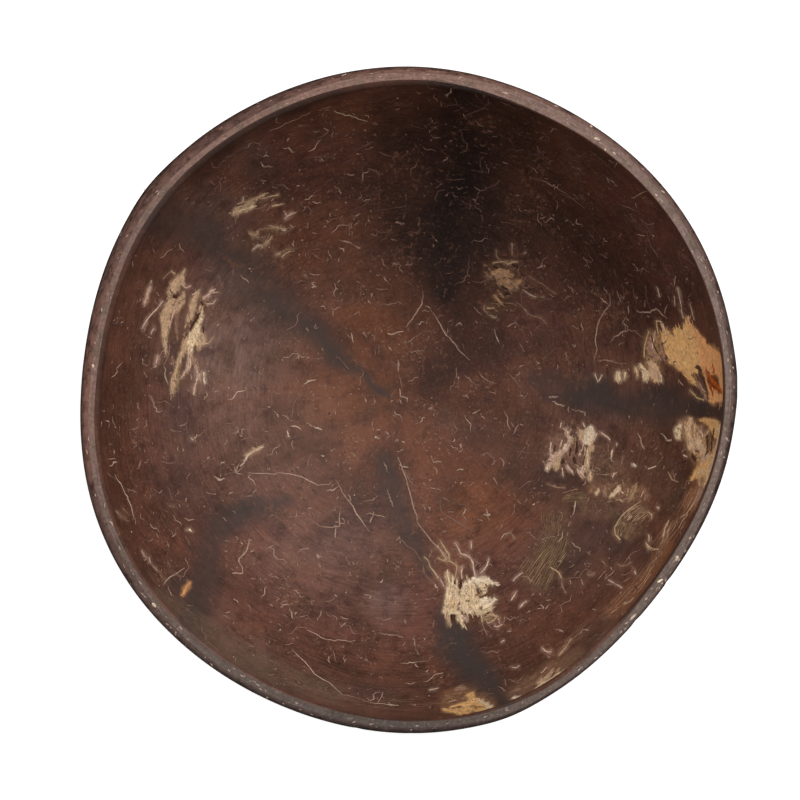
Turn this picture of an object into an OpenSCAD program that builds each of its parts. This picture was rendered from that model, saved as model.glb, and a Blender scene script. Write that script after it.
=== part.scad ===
// Bowl made from the lower half of one coconut shell, in millimetres.
// The nut was sawn a little above its fullest circle, sanded inside and out,
// flattened underneath to stand, and its rim was bevelled by hand.
// The origin is the centre of the resting face, and +Z is up.

/* [Shell] */
// Mean width across the outside of the shell at its fullest circle
shell_d = 135; // [115:1:155]
// Height from the resting face to the top of the rim
bowl_h = 60; // [50:1:72]
// Mean depth of the fullest circle below the rim
belly_drop = 6; // [3:0.5:9]
// How much deeper that circle lies where the shell closes in, and how much less deep opposite
belly_tilt = 6; // [0:0.5:8]
// Direction in which the shell closes in most, where its wall is also thickest, in degrees
lean_dir = 140; // [0:5:355]

/* [Wall] */
// Mean thickness of the wall at the fullest circle
wall_t = 3; // [2.6:0.1:5]
// How much thicker the wall is towards the lean, and how much thinner opposite
wall_swing = 0.4; // [0:0.1:0.6]
// Thickness left over the middle of the resting face
floor_t = 3.8; // [2.5:0.1:6]

/* [Outline] */
// Height of the two long swells that make the outline oval
oval_swell = 0.7; // [0:0.05:1.2]
// Height of the three lobes, one for each part of the nut
three_lobe_swell = 0.55; // [0:0.05:1]
// Height of the four lobes
four_lobe_swell = 0.4; // [0:0.05:0.8]
// Height of the five lobes
five_lobe_swell = 0.4; // [0:0.05:0.8]
// Height of the two finer waves of the outline
ripple_swell = 0.14; // [0:0.02:0.3]

/* [Ridges] */
// How far each of the three seams of the nut stands out at the rim
ridge_h = 0.3; // [0:0.05:0.8]
// Distance from the top of a seam to where it has sunk to about a third
ridge_w = 7; // [3:0.5:10]

/* [Rim] */
// Width of the hand-sanded bevel where it is widest
bevel_w = 1.2; // [0.4:0.1:1.4]
// Depth of the bevel where it is widest
bevel_h = 1; // [0.4:0.1:2]
// Radius of the small rounding along the inner edge of the rim
lip_r = 0.4; // [0.2:0.05:0.6]
// How far the sawn rim dips at its two low places
rim_dip = 0.3; // [0:0.05:0.8]

/* [Foot] */
// Width of the flat that the bowl rests on
foot_d = 34; // [24:1:44]
// How much longer the flat is one way than its mean, at each end
foot_oval = 0.8; // [0:0.1:1.5]
// Width of the eased edge round the flat, on each side of its outline
foot_ease = 0.6; // [0.2:0.1:1]

/* [Hidden] */

// Each lobe set of the outline: how many lobes, the direction of one of them, its height
lobes = [
    [2, 65, oval_swell],
    [3, 18, three_lobe_swell],
    [4, 19, four_lobe_swell],
    [5, -4, five_lobe_swell],
    [6, -26, ripple_swell],
    [7, -13, ripple_swell]
];
// Directions of the three seams
ridge_dirs = [2, 141, 288];
// Direction of one low place of the rim, and of the long way of the foot
dip_dir = 50;
foot_dir = 120;
// Bevel sanded off every 45 degrees round the rim, as a share of its widest
bevel_shares = [0.75, 0.4, 0.35, 0.95, 0.7, 0.55, 0.65, 0.2];

// Steps round the bowl, up the outside, down the inside, and round each rounded edge
sectors = 96;
outside_steps = 20;
inside_steps = 20;
edge_steps = 4;

mean_r = shell_d / 2;
foot_r = foot_d / 2;

// Sum of a list of numbers
function total(list) = list * [for (value = list) 1];
// A hand-chosen table read smoothly round the circle, easing from each value to the next
function around(table, a) =
    let (place = a / 360 * len(table), low = floor(place), ease = (1 - cos((place - low) * 180)) / 2)
    table[low % len(table)] * (1 - ease) + table[(low + 1) % len(table)] * ease;
// Smallest turn between two directions
function turn(a, b) = abs((a - b + 540) % 360 - 180);

// Swell of the outline in one direction
function swell(a) = total([for (lobe = lobes) lobe[2] * cos(lobe[0] * (a - lobe[1]))]);
// Height of the fullest circle, rim and foot edge in one direction
function belly_z(a) = bowl_h - belly_drop - belly_tilt * cos(a - lean_dir);
function rim_z(a) = bowl_h - rim_dip * (1 + cos(2 * (a - dip_dir))) / 2;
function foot_edge(a) = foot_r + foot_oval * cos(2 * (a - foot_dir));
// Wall thickness at the fullest circle, and the bevel's share, in one direction
function wall(a) = wall_t + wall_swing * cos(a - lean_dir);
function bevel(a) = around(bevel_shares, a);
// Half-height of the outer curve, so that it passes through the edge of the foot
function outer_depth(a) = belly_z(a) / sqrt(1 - pow(foot_edge(a) / mean_r, 2));
function inner_depth(a) = belly_z(a) - floor_t;

// Height of the seams: each is a soft crest along a meridian, and dies out towards the foot
function crest(a, u) = ridge_h * pow(sin(u), 3)
    * total([for (dir = ridge_dirs) exp(-pow(turn(a, dir) * PI / 180 * mean_r / ridge_w, 2))]);

// Points of one side as [distance from the axis, height]. The angle u is 0 under the bowl's
// middle and 90 at the fullest circle. The lobes fade out towards the pole.
function outer_point(a, u) =
    let (reach = mean_r + swell(a) * pow(sin(u), 2), rise = crest(a, u))
    [(reach + rise) * sin(u), belly_z(a) - outer_depth(a) * cos(u)];
function inner_point(a, u) =
    let (reach = mean_r - wall(a) + swell(a) * pow(sin(u), 2))
    [reach * sin(u), belly_z(a) - inner_depth(a) * cos(u)];

// Where each side meets the rounded edges
function outer_end(a) = acos((belly_z(a) - rim_z(a) + bevel_h * bevel(a)) / outer_depth(a));
function inner_end(a) = acos((belly_z(a) - rim_z(a) + lip_r) / inner_depth(a));
function outer_start(a) = asin((foot_edge(a) + foot_ease) / mean_r);

// The wall's section in one direction, from the foot up the outside, over the rim and down inside
function section(a) = let (
    low = outer_start(a),
    high = outer_end(a),
    brink = outer_point(a, high),
    mouth = inner_end(a),
    lip = inner_point(a, mouth)
) concat(
    [[foot_edge(a) - foot_ease, 0]],
    [for (i = [0:outside_steps - 1]) outer_point(a, low + (high - low) * i / outside_steps)],
    [for (i = [0:edge_steps]) let (t = 90 * i / edge_steps)
        [brink[0] - bevel_w * bevel(a) * (1 - cos(t)), brink[1] + bevel_h * bevel(a) * sin(t)]],
    [for (i = [0:edge_steps]) let (t = 90 * i / edge_steps)
        [lip[0] + lip_r * (1 - sin(t)), lip[1] + lip_r * cos(t)]],
    [for (i = [1:inside_steps - 1]) inner_point(a, mouth * (1 - i / inside_steps))]
);

// A closed skin through the same section points in every direction, with a middle point at each end
module lofted_ring(sections, first_pole, last_pole) {
    round_count = len(sections);
    ring_count = len(sections[0]);
    first = round_count * ring_count;
    last = first + 1;
    points = concat([for (ring = sections) each ring], [first_pole, last_pole]);
    faces = [for (j = [0:round_count - 1])
        let (here = j * ring_count, next = (j + 1) % round_count * ring_count, end = ring_count - 1)
        each concat(
            [[first, here, next], [last, next + end, here + end]],
            [for (i = [0:end - 1]) each [
                [here + i, here + i + 1, next + i + 1],
                [here + i, next + i + 1, next + i]
            ]]
        )];
    polyhedron(points, faces, convexity = 4);
}

// The whole bowl: one piece of coconut shell
module shell() {
    color("#4a2c22") lofted_ring(
        [for (j = [0:sectors - 1]) let (a = 360 * j / sectors)
            [for (p = section(a)) [p[0] * cos(a), p[0] * sin(a), p[1]]]],
        [0, 0, 0],
        [0, 0, floor_t]
    );
}

shell();
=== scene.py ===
"""Coconut shell bowl: one half shell, sanded and oiled, with its pale patches and fibres.

Sizes are in millimetres until a mesh is made. Seen pixels are places in the 800 pixel
photograph, which looks straight down into the bowl; a function turns them into places on
the inner wall. The origin is the centre of the resting face, and +Z is up.
"""
import math

import bpy
import numpy as np
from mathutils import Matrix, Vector


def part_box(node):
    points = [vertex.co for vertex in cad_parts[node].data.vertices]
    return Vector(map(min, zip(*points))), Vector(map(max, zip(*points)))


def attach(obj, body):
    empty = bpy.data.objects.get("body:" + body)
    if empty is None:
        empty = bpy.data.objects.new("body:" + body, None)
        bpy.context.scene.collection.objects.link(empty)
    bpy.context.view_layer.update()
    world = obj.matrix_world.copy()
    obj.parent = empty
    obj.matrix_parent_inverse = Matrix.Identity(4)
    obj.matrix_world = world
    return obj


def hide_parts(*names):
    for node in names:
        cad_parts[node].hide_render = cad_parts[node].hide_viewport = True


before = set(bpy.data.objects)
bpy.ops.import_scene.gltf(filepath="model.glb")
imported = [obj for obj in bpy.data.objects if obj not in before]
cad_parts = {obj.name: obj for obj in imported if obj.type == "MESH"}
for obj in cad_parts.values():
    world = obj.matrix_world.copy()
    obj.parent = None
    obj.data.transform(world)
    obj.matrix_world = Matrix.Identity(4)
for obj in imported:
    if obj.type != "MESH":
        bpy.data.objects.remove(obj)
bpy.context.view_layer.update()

METRES = 0.001
SEED = 29

# The shell's sizes, as in the part's own source
BOWL_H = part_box("shell")[1][2] / METRES
MEAN_R = 67.5
BELLY_DROP = 6.0
BELLY_TILT = 6.0
LEAN_DIR = 140.0
WALL_T = 3.0
WALL_SWING = 0.4
FLOOR_T = 3.8
RIDGE_H = 0.3
RIDGE_W = 7.0
BEVEL_W = 1.2
BEVEL_H = 1.0
RIM_DIP = 0.3
FOOT_R = 17.0
FOOT_OVAL = 0.8
FOOT_EASE = 0.6
DIP_DIR = 50.0
FOOT_DIR = 120.0
# Lobes of the outline: how many, the direction of one of them, its height
LOBES = [(2, 65, 0.7), (3, 18, 0.55), (4, 19, 0.4), (5, -4, 0.4), (6, -26, 0.14), (7, -13, 0.14)]
RIDGE_DIRS = [2, 141, 288]
BEVEL_SHARES = [0.75, 0.4, 0.35, 0.95, 0.7, 0.55, 0.65, 0.2]
# The rounded inner edge every 30 degrees, sanded back further where the wall is thick
LIP_REACH = [0.5, 0.2, 0.3, 1.2, 1.3, 1.3, 1.2, 0.8, 0.4, 0.3, 1.0, 0.4]
# How far the middle of the sawn face lies under its edges, where grains are rubbed in
FACE_SUNK = 0.06
# Share of a straight slope in the bevel's section; the rest is a quarter ellipse
BEVEL_FLAT = 0.6

# The finer mesh: steps round the bowl and along each stretch of the wall's section
SECTORS = 500
OUTSIDE_STEPS = 34
BEVEL_STEPS = 5
FACE_STEPS = 5
LIP_STEPS = 4
INSIDE_STEPS = 146
# Steps along a followed fibre, along the core of a stroke and along a short strand
LONG_STEPS = 16
CORE_STEPS = 8
SHORT_STEPS = 6

# The photograph: size of a pixel at the rim, the bowl's middle, and the camera's height over the rim
PIXEL = 0.2037
FRAME_MIDDLE = 400.0
BOWL_PX = (403.9, 396.7)
# The light on the inner wall: how far the wall reaches from that middle, then the light's share in the
# middle and how much less of it falls to the right, to the top, and away from the middle
WALL_PX = 285.0
LIGHT_FIT = (0.90, 0.115, 0.21, 0.245)
CAMERA_REACH = 1400.0
CAMERA_X = (FRAME_MIDDLE - BOWL_PX[0]) * PIXEL
CAMERA_Y = (BOWL_PX[1] - FRAME_MIDDLE) * PIXEL


def cosd(degrees):
    """Cosine of an angle in degrees."""
    return np.cos(np.radians(degrees))


def smooth(low, high, value):
    """0 below low, 1 above high, and an even S-curve between them."""
    t = np.clip((value - low) / (high - low), 0.0, 1.0)
    return t * t * (3.0 - 2.0 * t)


def around(table, a):
    """A table read round the circle, easing from each value to the next."""
    table = np.asarray(table)
    place = (a % 360.0) / 360.0 * len(table)
    low = np.floor(place).astype(int)
    ease = (1.0 - np.cos((place - low) * math.pi)) / 2.0
    return table[low % len(table)] * (1.0 - ease) + table[(low + 1) % len(table)] * ease


def swell(a):
    """Lobes of the outline: a sum of cosine waves round the bowl."""
    return sum(height * cosd(count * (a - direction)) for count, direction, height in LOBES)


def belly_z(a):
    """Height of the fullest circle, which tilts away from the lean."""
    return BOWL_H - BELLY_DROP - BELLY_TILT * cosd(a - LEAN_DIR)


def rim_z(a):
    """Height of the sawn rim, which dips at two opposite places."""
    return BOWL_H - RIM_DIP * (1.0 + cosd(2.0 * (a - DIP_DIR))) / 2.0


def foot_edge(a):
    """Distance from the middle to the edge of the resting flat, a slight oval."""
    return FOOT_R + FOOT_OVAL * cosd(2.0 * (a - FOOT_DIR))


def wall(a):
    """Thickness at the fullest circle, greatest towards the lean."""
    return WALL_T + WALL_SWING * cosd(a - LEAN_DIR)


def outer_depth(a):
    """Half-height of the outer ellipse, so that it passes through the edge of the flat."""
    return belly_z(a) / np.sqrt(1.0 - (foot_edge(a) / MEAN_R) ** 2)


def inner_depth(a):
    """Half-height of the inner ellipse, which ends at the floor."""
    return belly_z(a) - FLOOR_T


def arc_from(a, direction):
    """Length of the outline between two directions, the short way round."""
    return np.radians(np.abs((a - direction + 540.0) % 360.0 - 180.0)) * MEAN_R


def crest(a, u):
    """Three soft crests along meridians, bell-shaped across and dying out towards the foot."""
    bells = sum(np.exp(-(arc_from(a, direction) / RIDGE_W) ** 2) for direction in RIDGE_DIRS)
    return RIDGE_H * np.sin(u) ** 3 * bells


def outer_point(a, u):
    """Outer wall as distance from the axis and height: an ellipse with lobes and crests."""
    s = np.sin(u)
    return (MEAN_R + swell(a) * s ** 2 + crest(a, u)) * s, belly_z(a) - outer_depth(a) * np.cos(u)


def inner_point(a, u):
    """Inner wall as distance from the axis and height: a smaller ellipse with the same lobes."""
    s = np.sin(u)
    return (MEAN_R - wall(a) + swell(a) * s ** 2) * s, belly_z(a) - inner_depth(a) * np.cos(u)


def hollow(x, y):
    """Slow waves that hand sanding leaves on the inner wall: a sum of sines, about 0.1 mm at most."""
    return (0.045 * np.sin(x / 3.9 + 1.1) * np.sin(y / 4.7 + 0.4)
            + 0.04 * np.sin(x / 7.3 - y / 6.1) + 0.02 * np.sin(x / 2.1 + y / 2.6 + 2.0))


def inside_height(x, y):
    """Height of the inner wall over a place: solves the distance formula for the ellipse's sine."""
    a = np.degrees(np.arctan2(y, x))
    r = np.hypot(x, y)
    s = r / (MEAN_R - wall(a))
    for _ in range(5):
        s = np.clip(r / (MEAN_R - wall(a) + swell(a) * s ** 2), 0.0, 0.9995)
    return belly_z(a) - inner_depth(a) * np.sqrt(1.0 - s ** 2) + hollow(x, y)


def seen_pixels(x, y, z):
    """Where the camera sees a point: distance from its axis shrinks with depth under the rim."""
    shrink = CAMERA_REACH / (CAMERA_REACH + BOWL_H - z) / PIXEL
    return FRAME_MIDDLE + (x - CAMERA_X) * shrink, FRAME_MIDDLE - (y - CAMERA_Y) * shrink


def brim_distance(a):
    """Distance from the axis to the outer wall's widest circle, in one direction."""
    return MEAN_R + swell(a) + crest(a, np.full(np.shape(a), math.pi / 2))


def rim_edges(a):
    """The bevel's outer edge, height, width and drop, and the outer and inner edge of the sawn face."""
    drop = BEVEL_H * around(BEVEL_SHARES, a)
    width = BEVEL_W * around(BEVEL_SHARES, a)
    high = np.arccos((belly_z(a) - rim_z(a) + drop) / outer_depth(a))
    brink_r, brink_z = outer_point(a, high)
    lip = around(LIP_REACH, a)
    mouth = np.arccos((belly_z(a) - rim_z(a) + lip) / inner_depth(a))
    return brink_r, brink_z, width, drop, brink_r - width, inner_point(a, mouth)[0] + lip


def bevel_shares(s):
    """Shares of the bevel's width and drop along it: a straight slope mixed with a quarter ellipse."""
    t = math.pi / 2 * s
    curved = 1.0 - BEVEL_FLAT
    return BEVEL_FLAT * s + curved * (1.0 - np.cos(t)), BEVEL_FLAT * s + curved * np.sin(t)


def rim_height(x, y):
    """Height of the rim over a place: outer wall, bevel read from its section, or sunk face."""
    a = np.degrees(np.arctan2(y, x))
    r = np.hypot(x, y)
    brink_r, brink_z, width, drop, face_out, face_in = rim_edges(a)
    wall_z = belly_z(a) + outer_depth(a) * np.sqrt(np.clip(1.0 - (r / brim_distance(a)) ** 2, 0.0, 1.0))
    inwards, upwards = bevel_shares(np.linspace(0.0, 1.0, 33))
    bevel_z = brink_z + drop * np.interp((brink_r - r) / width, inwards, upwards)
    share = np.clip((face_out - r) / (face_out - face_in), 0.0, 1.0)
    face_z = rim_z(a) - FACE_SUNK * np.sin(math.pi * share)
    return np.where(r > brink_r, np.minimum(wall_z, brink_z), np.where(r > face_out, bevel_z, face_z))


def place_under(px, py, height):
    """Place on a surface under seen pixels, by stepping between its height and the view."""
    z = np.full(np.shape(px), BOWL_H / 2.0)
    for _ in range(8):
        grow = (CAMERA_REACH + BOWL_H - z) / CAMERA_REACH * PIXEL
        x = CAMERA_X + (px - FRAME_MIDDLE) * grow
        y = CAMERA_Y - (py - FRAME_MIDDLE) * grow
        z = height(x, y)
    return np.stack([x, y, z], axis=-1)


def normal_at(p, height):
    """Upward direction square to a surface, from its slope over half a millimetre."""
    step = 0.25
    slope_x = (height(p[..., 0] + step, p[..., 1]) - height(p[..., 0] - step, p[..., 1])) / (2 * step)
    slope_y = (height(p[..., 0], p[..., 1] + step) - height(p[..., 0], p[..., 1] - step)) / (2 * step)
    n = np.stack([-slope_x, -slope_y, np.ones_like(slope_x)], axis=-1)
    return n / np.linalg.norm(n, axis=-1, keepdims=True)


# Colours

def linear(hex_colour):
    """An sRGB hex colour as linear red, green, blue and alpha."""
    value = [int(hex_colour[i:i + 2], 16) / 255.0 for i in (1, 3, 5)]
    return tuple(v / 12.92 if v <= 0.04045 else ((v + 0.055) / 1.055) ** 2.4 for v in value) + (1.0,)


def rgb(hex_colour):
    """The linear red, green and blue of an sRGB hex colour, as an array."""
    return np.array(linear(hex_colour)[:3])


# Shades of bared grain and of fibre, as they look in even light
SHADES = {
    "pale": "#ead3b5", "cream": "#dfc39d", "gold": "#d6a66c", "orange": "#dd9f67", "tan": "#bb9a7a",
    "pink": "#caa892", "brown": "#916f5b", "olive": "#9e825f", "umber": "#775640", "ochre": "#a17a50",
    "rust": "#8a4118", "gap": "#4a3124", "moss": "#80694c", "wheat": "#c2946e",
}
# Shades that lie over the others
COVERING = ("gap", "rust", "ochre")
# Spots where the bared grain is duller: seen x, seen y, half-width, half-height, turn in degrees and
# strength
DULLED = [
    (268, 236, 46, 34, 0, 0.44), (250, 208, 34, 18, 0, 0.34), (512, 290, 60, 50, 0, 0.52),
]

# Smoke stains burnt along the seams inside: routes of (seen x, seen y, half-width in pixels),
# and how strong each is
SMOKE = {
    "seam_end": (0.76, [(386, 400, 3), (374, 389, 4), (352, 368, 6.5), (330, 347, 11), (306, 326, 16)]),
    "upper_left": (0.58, [(330, 347, 14), (306, 326, 19), (280, 303, 24), (254, 277, 25),
                          (225, 251, 21), (195, 230, 23), (165, 214, 24), (136, 204, 22)]),
    "right": (0.78, [(546, 392, 7), (580, 395, 12), (620, 402, 15.5), (660, 403, 17), (725, 408, 15)]),
    "bottom": (0.6, [(384, 456, 8), (390, 492, 11), (402, 518, 12), (416, 545, 11), (430, 570, 8)]),
    "bottom_rim": (0.88, [(446, 618, 12), (455, 645, 18), (473, 667, 18), (497, 693, 15),
                          (508, 706, 12)]),
    "lower_left": (0.66, [(290, 500, 8), (252, 508, 12), (222, 528, 18), (205, 556, 20), (197, 590, 20),
                          (190, 625, 14)]),
    "left": (0.3, [(176, 352, 12), (178, 430, 20), (182, 500, 16)]),
    "middle": (0.3, [(440, 420, 14), (490, 440, 24), (540, 470, 24), (590, 520, 20)]),
    "right_start": (0.55, [(530, 378, 12), (556, 380, 18), (580, 386, 12)]),
    "lower_right": (0.3, [(560, 560, 30), (600, 520, 26), (640, 560, 18)]),
}
# Shade: near-black and dark stains, with painted shade over them on the walls that face away from the
# light and under the rim, as (strength, route of seen x, seen y, half-width)
SHADE = {
    "top": (0.92, [(450, 296, 14), (452, 255, 34), (456, 215, 48), (462, 165, 56), (466, 120, 56),
                   (468, 85, 38)]),
    "upper_right": (0.6, [(520, 150, 60), (545, 210, 80), (590, 250, 60), (640, 290, 40)]),
    "middle": (0.5, [(455, 280, 46), (470, 340, 44), (430, 370, 30)]),
    "upper_left": (0.52, [(408, 130, 46), (390, 180, 52), (405, 250, 44)]),
    "under_rim": (0.5, [(190, 170, 14), (250, 120, 14), (330, 92, 12)]),
}
# Soft spots of another tone, and of painted sheen: seen x, seen y, half-width, half-height, turn in
# degrees, strength
DEEP = [
    (122, 440, 18, 80, 0, 0.4), (556, 366, 36, 30, 0, 0.6), (600, 366, 40, 26, 0, 0.25),
    (426, 330, 26, 22, 0, 0.4), (410, 345, 44, 40, 0, 0.4), (300, 236, 44, 30, 0, 0.35),
    (610, 235, 70, 100, 40, 0.75), (540, 165, 80, 40, -30, 0.6), (400, 330, 44, 40, 0, 0.5),
    (470, 310, 60, 60, 0, 0.6), (320, 170, 80, 40, 20, 0.4), (420, 190, 60, 80, 0, 0.6),
    (480, 400, 50, 40, 0, 0.4), (300, 250, 40, 30, 30, 0.4),
]
WARM = [
    (345, 402, 76, 52, 20, 0.7), (385, 325, 40, 36, 0, 0.6), (290, 425, 50, 40, 0, 0.4),
    (420, 440, 60, 40, -30, 0.25), (488, 512, 46, 34, -20, 0.7), (330, 250, 60, 36, 10, 0.3),
    (600, 640, 70, 26, 48, 0.5), (684, 520, 66, 18, 65, 0.6), (345, 112, 40, 18, -15, 0.5),
    (560, 180, 80, 40, -40, 0.35), (170, 350, 60, 30, 80, 0.2),
]
RUDDY = [
    (384, 596, 28, 26, 0, 0.6), (300, 570, 100, 70, -20, 0.6), (400, 610, 90, 50, 0, 0.6),
    (500, 560, 50, 45, 0, 0.4), (160, 250, 40, 70, 25, 0.35), (640, 240, 60, 80, 40, 0.5),
    (340, 150, 90, 40, 0, 0.3), (170, 440, 50, 90, 0, 0.4), (520, 330, 50, 50, 0, 0.3),
]
# Painted sheen: a greyish haze where a soft reflection of the lamps lies
PAINTED_SHEEN = [
    (215, 215, 44, 36, 0, 0.4), (384, 600, 24, 22, 0, 0.5), (250, 156, 30, 26, 0, 0.25),
    (250, 246, 26, 24, 0, 0.3), (602, 376, 30, 16, 0, 0.3), (602, 638, 44, 18, 48, 0.45),
    (250, 660, 50, 26, -40, 0.45), (350, 700, 60, 16, 0, 0.3), (222, 296, 40, 36, 30, 0.6),
    (205, 634, 70, 34, -45, 0.4), (300, 690, 70, 22, -12, 0.3), (228, 352, 64, 66, 40, 0.75),
    (250, 420, 90, 60, 0, 0.4), (265, 470, 80, 60, 0, 0.25), (330, 550, 90, 50, 0, 0.3),
    (600, 400, 70, 60, 0, 0.25), (590, 540, 60, 60, 0, 0.2),
]

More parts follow.
